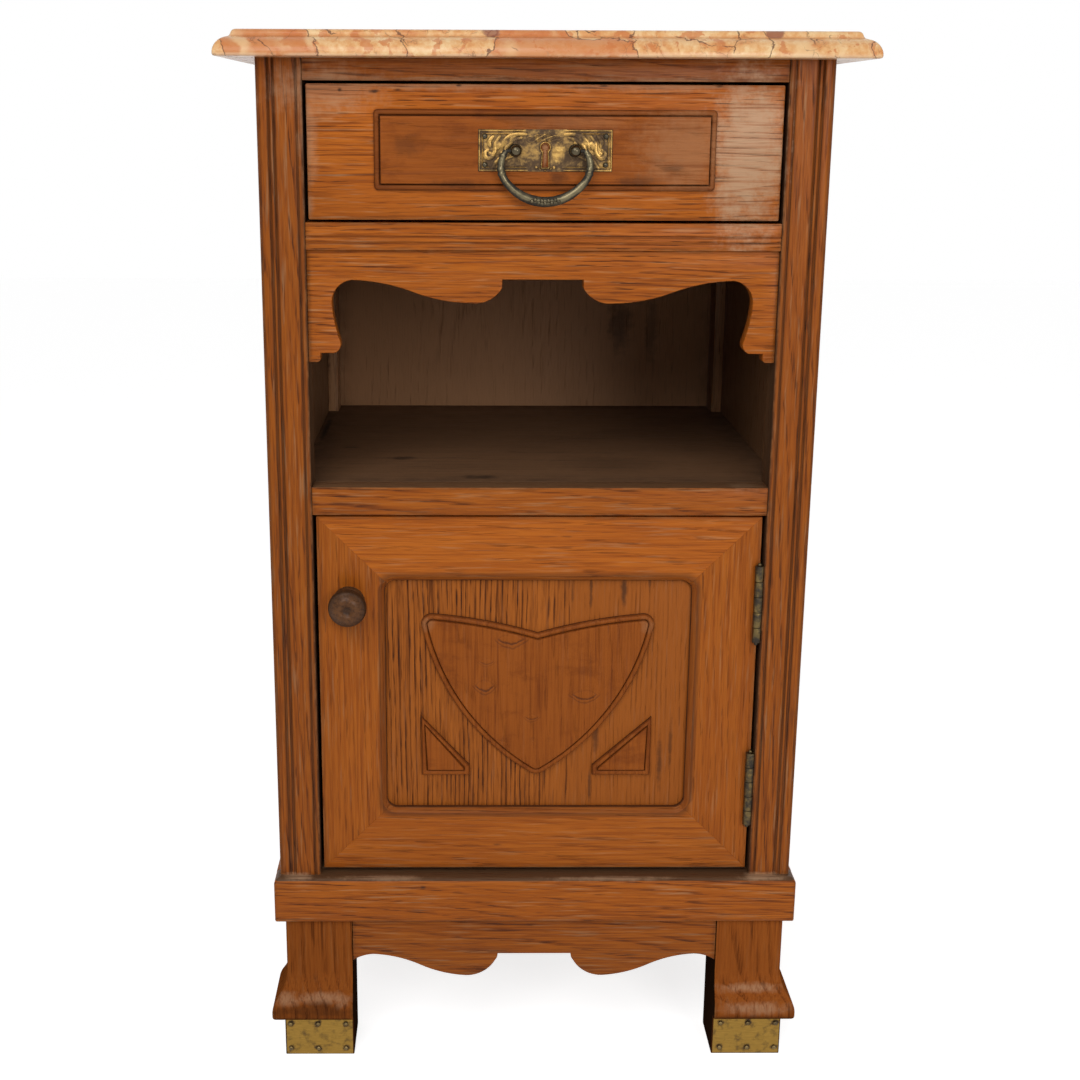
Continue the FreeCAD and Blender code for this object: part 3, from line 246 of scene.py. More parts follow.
def makePatina():
    inputs = [("Place", "Vector", None), ("Scale", "Float", 160.0), ("Relief", "Float", 0.5)]
    group, given, result = newGroup("patina", inputs, ["Tarnish", "Scuff"])
    cloud = ranged(noiseAt(given["Place"], given["Scale"], 5.0, rough=0.65), 0.3, 0.72)
    link(ranged((1.0 - given["Relief"]) * 0.6 + cloud * 0.55, 0.3, 0.85), result["Tarnish"])
    tall = vectorCalc("MULTIPLY", given["Place"], (1.0, 1.0, 7.0))
    link(noiseAt(tall, given["Scale"], 3.0), result["Scuff"])
    return group


def makeRaggedSpot():
    # a ragged spot: how far a place lies inside it, and the waves of a burr's eye round it
    inputs = [("Place", "Vector", None), ("Ragged", "Float", 0.5), ("Middle", "Vector", None),
              ("Reach", "Vector", (0.01, 0.01, 0.01)), ("Amount", "Float", 0.5)]
    group, given, result = newGroup("rubbed", inputs, ["Mask", "Wave"])
    part = vectorCalc("DIVIDE", vectorCalc("SUBTRACT", given["Place"], given["Middle"]), given["Reach"])
    away = made(group, "ShaderNodeVectorMath", {0: part}, "Value", operation="LENGTH")
    loose = given["Ragged"] - 0.5
    link(ranged(loose * 1.4 + away, 0.2, 1.05, 1.0, 0.0) * given["Amount"], result["Mask"])
    x, _, z = parts(part)
    lens = loose * 1.3 + (x * x + calc("ABSOLUTE", z))
    rings = [ranged(calc("ABSOLUTE", lens - at), 0.05, 0.34, strength, 0.0)
             for at, strength in ((1.0, 1.0), (1.8, 0.6))]
    wave = largest(*rings) * ranged(z, -0.5, 0.5, 1.0, 0.3) - ranged(lens, 0.4, 0.9, 0.6, 0.0)
    link(wave * given["Amount"], result["Wave"])
    return group


oakFigure = makeOakFigure()
rubbed = makeRaggedSpot()
edgeNear = makeEdgeNear()
patina = makePatina()


# finishes

woodLooks = {
    "oak": {"light": (0.5, 0.135, 0.0125), "mid": (0.39, 0.094, 0.0074), "dark": (0.19, 0.043, 0.005),
            "pore": (0.085, 0.023, 0.007), "poreAmount": 0.8, "ringGap": 0.0031, "ring": 0.32, "tilt": 0.05,
            "wobble": 0.015, "wear": (0.55, 0.34, 0.2), "edge": (0.5, 0.19, 0.055), "wearWidth": 0.0022,
            "wearAmount": 0.4, "grime": (0.03, 0.013, 0.007), "grimeWidth": 0.004, "grimeAmount": 0.5,
            "rough": 0.42, "coat": 0.04, "gloss": 0.13, "haze": 0.5, "hazeColour": (0.52, 0.28, 0.13)},
    "panel": {"light": (0.465, 0.134, 0.02), "mid": (0.385, 0.107, 0.016), "dark": (0.12, 0.03, 0.0055),
              "pore": (0.055, 0.016, 0.007), "poreAmount": 0.95, "ringGap": 0.0037, "ring": 0.55,
              "tilt": 0.015, "wobble": 0.022, "wear": (0.3, 0.13, 0.06), "wearWidth": 0.001,
              "wearAmount": 0.2, "grime": (0.035, 0.018, 0.011), "grimeWidth": 0.004, "grimeAmount": 0.6,
              "rough": 0.44, "coat": 0.02, "gloss": 0.08, "haze": 0.2, "hazeColour": (0.42, 0.2, 0.1)},
    "figured": {"light": (0.362, 0.095, 0.0125), "mid": (0.303, 0.076, 0.0097), "dark": (0.19, 0.043, 0.006),
                "pore": (0.09, 0.026, 0.01), "poreAmount": 0.14, "ringGap": 0.006, "ring": 0.05, "tilt": 0.1,
                "wobble": 0.03, "wear": (0.42, 0.2, 0.09), "wearWidth": 0.001, "wearAmount": 0.2,
                "grime": (0.028, 0.013, 0.008), "grimeWidth": 0.002, "grimeAmount": 0.2, "rough": 0.44,
                "coat": 0.0, "gloss": 0.1, "haze": 0.1, "hazeColour": (0.4, 0.18, 0.09)},
    "inner": {"light": (0.19, 0.095, 0.045), "mid": (0.162, 0.08, 0.037), "dark": (0.115, 0.058, 0.027),
              "pore": (0.05, 0.023, 0.012), "poreAmount": 0.25, "ringGap": 0.006, "ring": 0.1, "tilt": 0.04,
              "wobble": 0.012, "wear": (0.2, 0.13, 0.08), "wearWidth": 0.002, "wearAmount": 0.3,
              "grime": (0.018, 0.01, 0.006), "grimeWidth": 0.03, "grimeAmount": 0.5, "rough": 0.55,
              "coat": 0.0, "gloss": 0.25, "haze": 0.12, "hazeColour": (0.22, 0.13, 0.08)},
    "lining": {"light": (0.5, 0.32, 0.155), "mid": (0.42, 0.25, 0.115), "dark": (0.28, 0.15, 0.06),
               "pore": (0.15, 0.08, 0.04), "poreAmount": 0.3, "ringGap": 0.005, "ring": 0.3, "tilt": 0.03,
               "wobble": 0.01, "wear": (0.3, 0.2, 0.12), "wearWidth": 0.002, "wearAmount": 0.3,
               "grime": (0.1, 0.06, 0.035), "grimeWidth": 0.015, "grimeAmount": 0.5, "rough": 0.6,
               "coat": 0.0, "gloss": 0.25, "haze": 0.2, "hazeColour": (0.5, 0.36, 0.22)},
    "knob": {"light": (0.155, 0.06, 0.017), "mid": (0.1, 0.037, 0.01), "dark": (0.05, 0.019, 0.006),
             "pore": (0.025, 0.012, 0.007), "poreAmount": 0.4, "ringGap": 0.004, "ring": 0.1, "tilt": 0.1,
             "wobble": 0.006, "wear": (0.2, 0.1, 0.05), "wearWidth": 0.001, "wearAmount": 0.0,
             "grime": (0.012, 0.007, 0.005), "grimeWidth": 0.001, "grimeAmount": 0.0, "rough": 0.32,
             "coat": 0.08, "gloss": 0.14, "haze": 0.1, "hazeColour": (0.12, 0.06, 0.035)},
}
woodLooks["frame"] = dict(woodLooks["oak"], dark=(0.25, 0.058, 0.006), ring=0.1, poreAmount=0.42, haze=0.3,
                          wobble=0.008, tilt=0.03)
woodLooks["foot"] = dict(woodLooks["oak"], light=(0.46, 0.13, 0.024), mid=(0.4, 0.107, 0.02),
                         dark=(0.24, 0.062, 0.013), ring=0.42, ringGap=0.0055, poreAmount=0.5, haze=0.15,
                         gloss=0.0, coat=0.0, rough=0.6)

# where hands, feet and dust have worn or stained the wood, and where highlights and shade are painted: middle
# x y z and reach x y z in mm, amount
paleMarks = {
    "oak": [(-152, -163, 750, 52, 6, 22, 0.4), (-164, -163, 722, 9, 6, 44, 0.35),
            (-60, -163, 753, 120, 6, 6, 0.35), (80, -163, 753, 120, 6, 6, 0.35),
            # painted highlight: the glare along the drawer's right end
            (142, -163, 708, 34, 3, 80, 0.88), (156, -163, 706, 11, 3, 70, 0.66),
            (0, -163, 763, 190, 3, 9, 0.1), (-165, -163, 672, 5, 6, 12, 0.3),
            # the toe marks on this line and the next: wear and a painted highlight on the front toes' flares
            (-166, -176, 54, 30, 12, 6, 0.42), (-196, -176, 53, 12, 12, 7, 0.4),
            (-152, -178, 50, 8, 7, 6, 0.3), (172, -174, 61, 36, 10, 5, 0.5), (176, -180, 46, 38, 9, 8, 0.45),
            (-186, -168, 157, 14, 8, 3, 0.6), (-120, -170, 157, 40, 5, 3, 0.4),
            (178, -168, 157, 22, 8, 3, 0.6), (60, -171, 157, 60, 4, 3, 0.4),
            (150, -155, 466, 18, 12, 4, 0.3)],
    # its second mark is a painted glare on the tablet's right end
    "figured": [(0, -166, 708, 5, 2.2, 14, 0.95), (98, -167, 710, 44, 6, 44, 0.5),
                # from the second mark on: painted highlights along the top edges of the heart and the
                # triangles
                (20, -167, 728, 60, 6, 12, 0.25), (0, -158, 366, 70, 6, 6, 0.45),
                (-84, -158, 360, 8, 6, 8, 0.4), (84, -158, 360, 8, 6, 8, 0.4)],
}
darkMarks = {
    "oak": [(-142, -163, 749, 2.4, 5, 2, 0.9), (-118, -163, 748, 5, 5, 1.7, 0.9),
            (-102, -163, 749, 4, 5, 1.5, 0.8), (-60, -163, 752, 3, 5, 1.2, 0.8),
            (40, -163, 752, 5, 5, 1.2, 0.7), (120, -163, 752, 4, 5, 1.4, 0.7), (-88, -173, 150, 3, 5, 2, 0.8),
            # the last mark here and the first two on the next line: the front toes' lower lips darkened, dirt
            # and painted shade
            (-30, -160, 180, 5, 5, 1.5, 0.5), (20, -160, 430, 6, 5, 1, 0.5), (-172, -178, 44, 60, 9, 7, 0.5),
            (172, -178, 37, 60, 9, 4, 0.4), (-170, -176, 48, 18, 8, 6, 0.5), (-26, -165, 161, 4, 6, 4, 0.7),
            # painted shade: a dark slit between the left side and the left rear post inside the niche
            (-181, 145.4, 560, 4, 1.6, 110, 0.95)],
    "panel": [(65, -152, 386, 3.0, 6, 18, 0.75), (40, -152, 386, 1.6, 6, 19, 0.65),
              (26, -152, 384, 1.6, 6, 15, 0.5), (46, -152, 268, 3.2, 6, 17, 0.6),
              (96, -152, 246, 3.2, 6, 26, 0.6), (104, -152, 262, 2.2, 6, 26, 0.5),
              (42, -152, 226, 1.6, 6, 18, 0.6), (84, -152, 392, 1.5, 6, 9, 0.5)],
    "figured": [(64, -167, 688, 22, 6, 5, 0.5), (-60, -167, 686, 26, 6, 4, 0.45),
                (10, -167, 690, 9, 6, 7, 0.5), (-20, -167, 731, 40, 6, 4, 0.4),
                (90, -167, 697, 12, 6, 3, 0.4), (-96, -167, 712, 16, 6, 10, 0.35)],
    "inner": [(-105, -60, 468, 14, 9, 4, 0.7), (-43, -128, 468, 18, 9, 4, 0.75),
              (-150, -18, 468, 9, 4, 4, 0.6), (60, -80, 468, 60, 40, 4, 0.25),
              (88, 176, 545, 14, 6, 34, 0.55), (118, 176, 540, 8, 6, 40, 0.4),
              # a dark line where the shelf meets the left side
              (-176, 60, 468, 3.5, 70, 4, 0.9)],
}
burrEyes = [(-20, -158, 349, 9.5, 900, 4.2, 0.8), (-39, -158, 331, 5, 900, 2.4, 0.5),
            (-40, -158, 311.5, 7, 900, 4, 0.8), (36.5, -158, 304, 9, 900, 3.6, 0.8),
            (-4, -158, 286, 5, 900, 2.4, 0.6), (-3, -158, 268, 2.4, 900, 2.4, -0.5),
            (10, -158, 268, 2, 900, 2, -0.4), (-26, -158, 266, 2.4, 900, 2, -0.4)]
woodNoise = {"patchy": 55.0, "ragged": 120.0, "cloud": 42.0, "cloudStretch": (0.7, 1.0, 1.3),
             "haze": (26.0, 430.0, 430.0)}
# painted shade of the moulded edge round the door's opening: reach, line and bands in mm
doorRimShade = {"reach": 10.0, "lineAt": 4.1, "lineHalf": (0.1, 0.7), "band": (3.4, 4.2), "seam": (0.2, 1.1)}


def spotMask(tree, place, ragged, spots, output="Mask"):
    # the strongest spot at each place, or the sum of the eyes' waves
    total = 0.0
    for *sizes, amount in spots:
        x, y, z, wide, deep, tall = (size * mm for size in sizes)
        sockets = {"Place": place, "Ragged": ragged, "Middle": (x, y, z), "Reach": (wide, deep, tall)}
        spot = used(tree, rubbed, dict(sockets, Amount=amount))[output]
        total = calc("MAXIMUM" if output == "Mask" else "ADD", spot, total)
    return total


def woodFinish(name, look):
    material, tree, surface = newMaterial(name)
    place = placeIn(tree)
    grain = attributeOf(tree, "grain", "Vector")
    figure = used(tree, oakFigure, {"Grain": grain, "Ring Gap": look["ringGap"], "Tilt": look["tilt"],
                                    "Wobble": look["wobble"], "Ring": look["ring"]})
    lines, pore, height = figure["Figure"], figure["Pore"], figure["Height"]
    patchy = noiseAt(place, woodNoise["patchy"], 4.0, rough=0.6)
    ragged = noiseAt(place, woodNoise["ragged"], 4.0, rough=0.65)
    if name == "panelWood":        # plainer to the right of the heart
        plain = ranged(parts(place)[0], -0.01, 0.05, 0.0, 0.75)
        lines = (0.4 - lines) * plain + lines
        pore = pore * (1.0 - plain)
    colour = ramp(lines, [(0.16, look["light"]), (0.44, look["mid"]), (0.82, look["dark"])])
    colour = blended(ranged(figure["Broad"], 0.35, 0.7) * 0.45, colour, look["mid"])
    if name == "figuredWood":        # mottled field with sunken eyes of burr
        cloud = vectorCalc("MULTIPLY", place, woodNoise["cloudStretch"])
        cloud = noiseAt(cloud, woodNoise["cloud"], 5.0, rough=0.68)
        colour = blended(ranged(cloud, 0.48, 0.68, 0.0, 0.6), colour, look["dark"])
        colour = blended(ranged(cloud, 0.28, 0.46, 0.4, 0.0), colour, look["light"])
        wave = spotMask(tree, place, ragged, burrEyes, "Wave")
        colour = blended(ranged(wave, 0.0, 1.0, 0.0, 0.85), colour, look["pore"])
        colour = blended(ranged(wave, -1.0, 0.0, 0.7, 0.0), colour, look["light"])
        height = wave * -1.2 + height
    # a pale haze along the grain: dust and a painted sheen
    haze = ranged(stretchedNoise(grain, woodNoise["haze"], 3.0), 0.54, 0.76) * look["haze"]
    colour = blended(haze, colour, look["hazeColour"])
    # faces marked dull take the inside's colour at their own tone: painted shade and light by the way a face
    # looks
    colour = blended(attributeOf(tree, "dull"), colour, woodLooks["inner"]["mid"])
    toned = {"Value": attributeOf(tree, "tone") + 1.0, "Color": colour}
    colour = made(tree, "ShaderNodeHueSaturation", toned, "Color")
    colour = blended(pore * look["poreAmount"], colour, look["pore"])
    edge = used(tree, edgeNear, {"Place": place, "Low": attributeOf(tree, "edgeLow", "Vector"),
                                 "High": attributeOf(tree, "edgeHigh", "Vector")})["Distance"]
    # darker near the board's edges, and darker where the mesh marks painted shade with some dirt in grooves,
    # quirks and hollows
    darkening = ranged(edge, 0.0, look["grimeWidth"], look["grimeAmount"], 0.0)
    darkening = largest(darkening * ranged(patchy, 0.25, 0.75, 0.25, 1.0), attributeOf(tree, "dirt") * 0.85)
    if name == "frameWood":        # painted shade round the door's opening: two dark lines and a dull band where its moulded edge lies in shadow
        gap = doorRimShade["reach"] - attributeOf(tree, "frameNear")
        line = ranged(calc("ABSOLUTE", gap - doorRimShade["lineAt"]), *doorRimShade["lineHalf"], 0.55, 0.0)
        darkening = largest(darkening, line, ranged(gap, *doorRimShade["band"], 0.3, 0.0),
                         ranged(gap, *doorRimShade["seam"], 0.8, 0.0))
    colour = blended(darkening, colour, look["grime"])
    worn = ranged(edge, 0.0, look["wearWidth"], look["wearAmount"], 0.0) * ranged(patchy, 0.42, 0.62)
    colour = blended(worn, colour, look.get("edge", look["wear"]))
    # pale marks: wear and dust, and painted highlights; dark marks: stains, and painted shade
    pale = spotMask(tree, place, ragged, paleMarks.get(look["marks"], []))
    colour = blended(pale * ranged(lines, 0.25, 0.7, 1.0, 0.5), colour, look["wear"])
    stainAndShadeMask = spotMask(tree, place, ragged, darkMarks.get(look["marks"], []))
    colour = blended(stainAndShadeMask, colour, look["grime"])
    rough = darkening * 0.25 + pore * 0.2 + patchy * 0.16 + (look["rough"] - 0.08)
    dress(surface, colour, rough, height, 0.3, Coat_Weight=look["coat"], Coat_Roughness=0.22,
          Specular_IOR_Level=look["gloss"])
    return material


marbleLook = {"cream": (0.94, 0.645, 0.335), "peach": (0.82, 0.42, 0.16), "orange": (0.64, 0.195, 0.052),
              "crack": (0.12, 0.045, 0.025), "nodule": (0.32, 0.11, 0.06), "lip": (0.92, 0.64, 0.4),
              "lipZ": (771.0, 773.2), "stepZ": 783.4, "bends": [(14.0, 0.05), (75.0, 0.013)], "cloud": 30.0,
              "grit": 260.0, "patches": 12.0, "blotches": 85.0, "milk": 24.0, "nodules": 46.0,
              "cracks": [(24.0, 0.016, 1.0), (12.0, 0.008, 0.95), (62.0, 0.02, 0.5)]}


def marbleFinish(name, look):
    material, tree, surface = newMaterial(name)
    place = placeIn(tree)

    def shifted(vector, scale, amount):
        # places pushed about by noise
        push = vectorCalc("SUBTRACT", noiseAt(place, scale, 4.0, "Color", 0.6), (0.5, 0.5, 0.5))
        push = made(tree, "ShaderNodeVectorMath", {0: push, "Scale": amount}, operation="SCALE")
        return vectorCalc("ADD", vector, push)

    def cells(vector, scale, output, feature="F1"):
        return made(tree, "ShaderNodeTexVoronoi", {"Vector": vector, "Scale": scale}, output, feature=feature)

    def cracks(scale, width, amount):
        gap = cells(bent, scale, "Distance", "DISTANCE_TO_EDGE")
        return ranged(gap, width * 0.3, width, amount, 0.0)

    bent = place
    for scale, amount in look["bends"]:
        bent = shifted(bent, scale, amount)
    cloud = noiseAt(bent, look["cloud"], 5.0, rough=0.62)
    grit = noiseAt(place, look["grit"], 4.0, rough=0.65)
    level = grit * 0.3 + cloud * 0.7
    colour = ramp(level, [(0.42, look["cream"]), (0.53, look["peach"]), (0.67, look["orange"])])
    kind = parts(cells(bent, look["patches"], "Color"), "Color")[0]
    colour = blended(ranged(cloud * 0.8 + kind, 1.08, 1.15, 0.0, 0.75), colour, look["orange"])
    blotch = ranged(noiseAt(shifted(place, 60.0, 0.02), look["blotches"], 3.0), 0.56, 0.6, 0.0, 0.7)
    colour = blended(blotch, colour, look["orange"])
    bands = {"Vector": bent, "Scale": 14.0, "Distortion": 9.0, "Detail": 3.0}
    swirl = ranged(made(tree, "ShaderNodeTexWave", bands, "Fac"), 0.55, 0.95)
    milky = swirl * ranged(noiseAt(place, look["milk"]), 0.46, 0.62) * 0.65
    colour = blended(milky, colour, look["cream"])
    z = parts(place)[2] / mm
    # a painted highlight along the nose's lower edge
    lip = ranged(z, *look["lipZ"], 0.6, 0.0) * ranged(cloud, 0.4, 0.55)
    colour = blended(lip, colour, look["lip"])
    # a painted shadow line along the step, in the orange
    step = ranged(calc("ABSOLUTE", z - look["stepZ"]), 0.2, 1.0, 0.35, 0.0)
    colour = blended(step, colour, look["orange"])
    main, wide, fine = (cracks(*sizes) for sizes in look["cracks"])
    broken = ranged(noiseAt(place, 38.0, 3.0), 0.45, 0.55)
    crack = largest(main * broken, wide, fine * ranged(cloud, 0.5, 0.6))
    colour = blended(crack * 0.85, colour, look["crack"])
    spots = vectorCalc("MULTIPLY", shifted(place, 140.0, 0.006), (0.7, 1.0, 1.0))
    rare = parts(cells(spots, look["nodules"], "Color"), "Color")
    size = ranged(rare[1], 0.0, 1.0, 0.06, 0.24)
    inside = ranged(cells(spots, look["nodules"], "Distance") - size, -0.03, 0.03, 1.0, 0.0)
    nodule = inside * ranged(rare[0], 0.66, 0.68)
    colour = blended(nodule * 0.85, colour, look["nodule"])
    rough = crack * 0.3 + cloud * 0.12 + 0.22
    dress(surface, colour, rough, (crack + nodule) * -1.0, 0.12, Coat_Weight=0.1, Coat_Roughness=0.14,
          Specular_IOR_Level=0.28)
    return material


metalLooks = {
    "brass": {"bright": (0.58, 0.36, 0.11), "dull": (0.185, 0.096, 0.029), "tarnish": (0.07, 0.038, 0.016),
              "scale": 110.0, "rough": 0.34},
    "plate": {"bright": (0.34, 0.205, 0.045), "dull": (0.18, 0.1, 0.022), "tarnish": (0.055, 0.03, 0.011),
              "scale": 130.0, "rough": 0.46},
    "nail": {"bright": (0.24, 0.17, 0.07), "dull": (0.11, 0.075, 0.032), "tarnish": (0.03, 0.021, 0.012),
             "scale": 200.0, "rough": 0.32},
    "bronze": {"bright": (0.21, 0.175, 0.1), "dull": (0.09, 0.072, 0.042), "tarnish": (0.022, 0.018, 0.012),
               "scale": 90.0, "rough": 0.33},
    "stud": {"bright": (0.13, 0.105, 0.064), "dull": (0.055, 0.045, 0.028), "tarnish": (0.016, 0.013, 0.009),
             "scale": 120.0, "rough": 0.27},
    "hinge": {"bright": (0.22, 0.155, 0.06), "dull": (0.075, 0.05, 0.023), "tarnish": (0.026, 0.018, 0.011),
              "scale": 160.0, "rough": 0.3},
    "iron": {"bright": (0.2, 0.19, 0.17), "dull": (0.12, 0.11, 0.1), "tarnish": (0.05, 0.035, 0.025),
             "scale": 120.0, "rough": 0.5},
}


def metalFinish(name, look):
    material, tree, surface = newMaterial(name)
    sockets = {"Place": placeIn(tree), "Relief": attributeOf(tree, "relief"), "Scale": look["scale"]}
    aged = used(tree, patina, sockets)
    tarnish, scuff = aged["Tarnish"], aged["Scuff"]
    colour = blended(tarnish, blended(scuff, look["dull"], look["bright"]), look["tarnish"])
    link(ranged(tarnish, 0.0, 1.0, 1.0, 0.55), surface["Metallic"])
    dress(surface, colour, tarnish * 0.3 + scuff * 0.2 + (look["rough"] - 0.1), scuff, 0.05)
    return material


for name, look in woodLooks.items():
    look["marks"] = "oak" if name in ("foot", "frame") else name
finishes = {name: woodFinish(name + "Wood", look) for name, look in woodLooks.items()}
finishes.update({name: metalFinish(name + "Metal", look) for name, look in metalLooks.items()})
finishes["marble"] = marbleFinish("veinedMarble", marbleLook)
print("finishes made:", len(finishes))


# meshes: copies of the frame's solids, attributes and placing

grainOrder = {"x": (0, 2, 1), "y": (1, 2, 0), "z": (2, 0, 1)}


def merged(node):
    shape = bmesh.new()
    shape.from_mesh(nodes[node].data)
    bmesh.ops.remove_doubles(shape, verts=shape.verts, dist=2 * tiny)
    bmesh.ops.dissolve_limit(shape, angle_limit=math.radians(0.6), verts=shape.verts, edges=shape.edges)
    return shape


def meshFrom(shape, name):
    mesh = bpy.data.meshes.new(name)
    shape.to_mesh(mesh)
    shape.free()
    return mesh


def evaluated(mesh, kind, settings, inputs=()):
    # the mesh with one modifier worked in
    carrier = bpy.data.objects.new("carrier", mesh)
    scene.collection.objects.link(carrier)
    modifier = carrier.modifiers.new(kind, kind)
    for key, value in settings.items():
        setattr(modifier, key, value)
    for key, value in dict(inputs).items():
        modifier[key] = value
    bpy.context.view_layer.update()
    result = bpy.data.meshes.new_from_object(carrier.evaluated_get(bpy.context.evaluated_depsgraph_get()))
    bpy.data.objects.remove(carrier)
    return result


def smoothed(mesh, angle):
    mesh.shade_smooth()
    mesh.set_sharp_from_angle(angle=math.radians(angle))
    return mesh


def eased(mesh, width, angle=32):
    if width == 0:
        return smoothed(mesh, angle)
    mesh.shade_smooth()
    return evaluated(mesh, "BEVEL", {"width": width, "segments": 2, "limit_method": "ANGLE",
                                     "angle_limit": math.radians(angle), "harden_normals": True,
                                     "use_clamp_overlap": False})


def finished(shape, name, angle, join=False):
    # a mesh with its faces outwards, smooth but for creases sharper than the angle
    if join:
        bmesh.ops.remove_doubles(shape, verts=shape.verts, dist=tiny)
    bmesh.ops.recalc_face_normals(shape, faces=shape.faces)
    return smoothed(meshFrom(shape, name), angle)


def wall(shape, lower, upper):
    # faces between two closed rows of points
    for i in range(len(lower)):
        shape.faces.new((lower[i - 1], lower[i], upper[i], upper[i - 1]))


def drawnBack(shape, back):
    # the open rim of a sheet drawn to its back; the new points and the open edges there
    rim = [edge for edge in shape.edges if edge.is_boundary]
    grown = bmesh.ops.extrude_edge_only(shape, edges=rim)["geom"]
    points = [item for item in grown if isinstance(item, bmesh.types.BMVert)]
    for vert in points:
        vert.co.y = back
    return points, [edge for edge in shape.edges if edge.is_boundary]


def spread(mesh, name, values, kind="FLOAT"):
    # write a value for every vertex
    attribute = mesh.attributes.get(name) or mesh.attributes.new(name, kind, "POINT")
    field = "vector" if kind == "FLOAT_VECTOR" else "value"
    attribute.data.foreach_set(field, np.ravel(values).astype(np.float32))


def places(mesh):
    values = np.zeros(len(mesh.vertices) * 3, np.float32)
    mesh.vertices.foreach_get("co", values)
    return values.reshape(-1, 3)


def markWood(mesh, along, tone=0.0, pith=None, dull=None):
    # the grain's own axes, the board's edges and its tone; faces turned inwards, forwards or up may be marked
    # dull: painted shade and light by the way each face looks
    at = places(mesh)
    low, high = at.min(0), at.max(0)
    inward = Vector((-math.copysign(1, low[0] + high[0]), 0, 0))
    steep = 0.7        # how squarely a face has to look some way

    def toneFor(face):
        ways = {"front": face.normal.y < -steep, "top": face.normal.z > steep,
                "inner": face.normal.dot(inward) > steep or face.normal.y > steep}
        for way, facingTone in (dull or {}).items():
            if ways[way]:
                return facingTone, 1.0
        return tone, 0.0

    shift = pith or (chance.uniform(0, 3), chance.uniform(0.02, 0.07), chance.uniform(0.01, 0.05))
    grain = (at - (low + high) / 2)[:, grainOrder[along]] + np.array(shift)
    spread(mesh, "grain", grain, "FLOAT_VECTOR")
    spread(mesh, "edgeLow", np.tile(low, (len(at), 1)), "FLOAT_VECTOR")
    spread(mesh, "edgeHigh", np.tile(high, (len(at), 1)), "FLOAT_VECTOR")
    tones = [toneFor(face) for face in mesh.polygons]
    for name, column in (("tone", 0), ("dull", 1)):
        mesh.attributes.new(name, "FLOAT", "FACE").data.foreach_set("value", [pair[column] for pair in tones])
    if "dirt" not in mesh.attributes:
        spread(mesh, "dirt", np.zeros(len(at)))


def settle(name, mesh, finish, body, slotName, *replaced):
    mesh.materials.clear()
    mesh.materials.append(finishes[finish])
    piece = bpy.data.objects.new(name, mesh)
    scene.collection.objects.link(piece)
    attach(piece, body)
    if replaced:
        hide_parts(*replaced)


def pieceName(node):
    first, *rest = node.split("_")
    return first + "".join(word.title() for word in rest)


def settleFor(node, mesh, finish):
    # a piece in place of a CAD node, with that node's body
    settle(pieceName(node), mesh, finish, bodyOf[node], slotOf[node], node)


# wooden boards: each a copy of its solid with eased edges and its own run of grain

boards = {
    # dull: the tone of faces turned that way, in the inside's colour: painted shade and light by the way each
    # face looks
    "front_left_post": {"grain": "z", "tone": -0.28, "dull": {"inner": -0.3}, "ease": 0.0},
    "front_right_post": {"grain": "z", "tone": -0.24, "dull": {"inner": -0.3}, "ease": 0.0},
    "rear_left_post": {"grain": "z", "tone": -0.15, "dull": {"front": 1.2, "inner": 1.2}},
    "rear_right_post": {"grain": "z", "tone": -0.15, "dull": {"front": 1.2, "inner": 0.1}},
    **dict.fromkeys(("left_side_panel", "right_side_panel"),
                    {"grain": "z", "tone": -0.06, "dull": {"inner": 0.1}}),
    "front_top_rail": {"grain": "x", "tone": -0.28},
    "drawer_divider": {"grain": "x", "tone": 0.02, "ease": 0.3},
    "niche_apron": {"grain": "x", "tone": -0.04},
    "shelf_edge_strip": {"grain": "x", "tone": -0.14, "dull": {"top": 0.1}},
    "plinth_front": {"grain": "x", "tone": -0.08, "dull": {"top": -0.3}, "ease": 1.4},
    **dict.fromkeys(("plinth_left", "plinth_right"), {"grain": "y", "tone": -0.1, "dull": {"inner": 0.3}}),
    "base_apron": {"grain": "x", "tone": -0.27},
    "side_aprons": {"grain": "y", "tone": -0.16},
    "front_left_foot": {"grain": "z", "tone": -0.36, "dull": {"inner": -0.9}, "finish": "foot"},
    "front_right_foot": {"grain": "z", "tone": -0.25, "dull": {"inner": -0.9}, "finish": "foot"},
    **dict.fromkeys(("rear_left_foot", "rear_right_foot"),
                    {"grain": "z", "tone": -0.25, "dull": {"inner": 0.2}, "finish": "foot"}),
    "drawer_front": {"grain": "x", "tone": 0.06, "ease": 1.2, "pith": (0.13, 0.016, 0.009)},
    "door_left_stile": {"grain": "z", "tone": -0.17, "ease": 0.2, "finish": "frame"},
    "door_right_stile": {"grain": "z", "tone": -0.14, "ease": 0.2, "finish": "frame"},
    "door_top_rail": {"grain": "x", "tone": 0.06, "ease": 0.2, "finish": "frame"},
    "door_bottom_rail": {"grain": "x", "tone": -0.1, "ease": 0.2, "finish": "frame"},
    "door_panel": {"grain": "z", "tone": -0.1, "finish": "panel", "pith": (0.0, 0.2, 0.02)},
    "back_panel": {"grain": "z", "finish": "inner", "dull": {"front": 1.5}},
    **dict.fromkeys(("left_top_rail", "right_top_rail"),
                    {"grain": "y", "tone": -0.12, "dull": {"inner": 0.1}}),
}
plainBoards = {
    "inner": {"back_top_rail": "x", "dust_board": "x", "drawer_runners": "y", "cabinet_floor": "x",
              "niche_shelf": "x", "plinth_back": "x", "door_stop": "x"},
    "lining": {"drawer_left_side": "y", "drawer_right_side": "y", "drawer_back": "x", "drawer_bottom": "x"},
}
for finish, members in plainBoards.items():
    boards.update({node: {"grain": along, "finish": finish} for node, along in members.items()})

doorOpening = {"halfWide": 115.5, "low": 210.5, "high": 395.0, "corner": 8.5, "deep": 8.0}
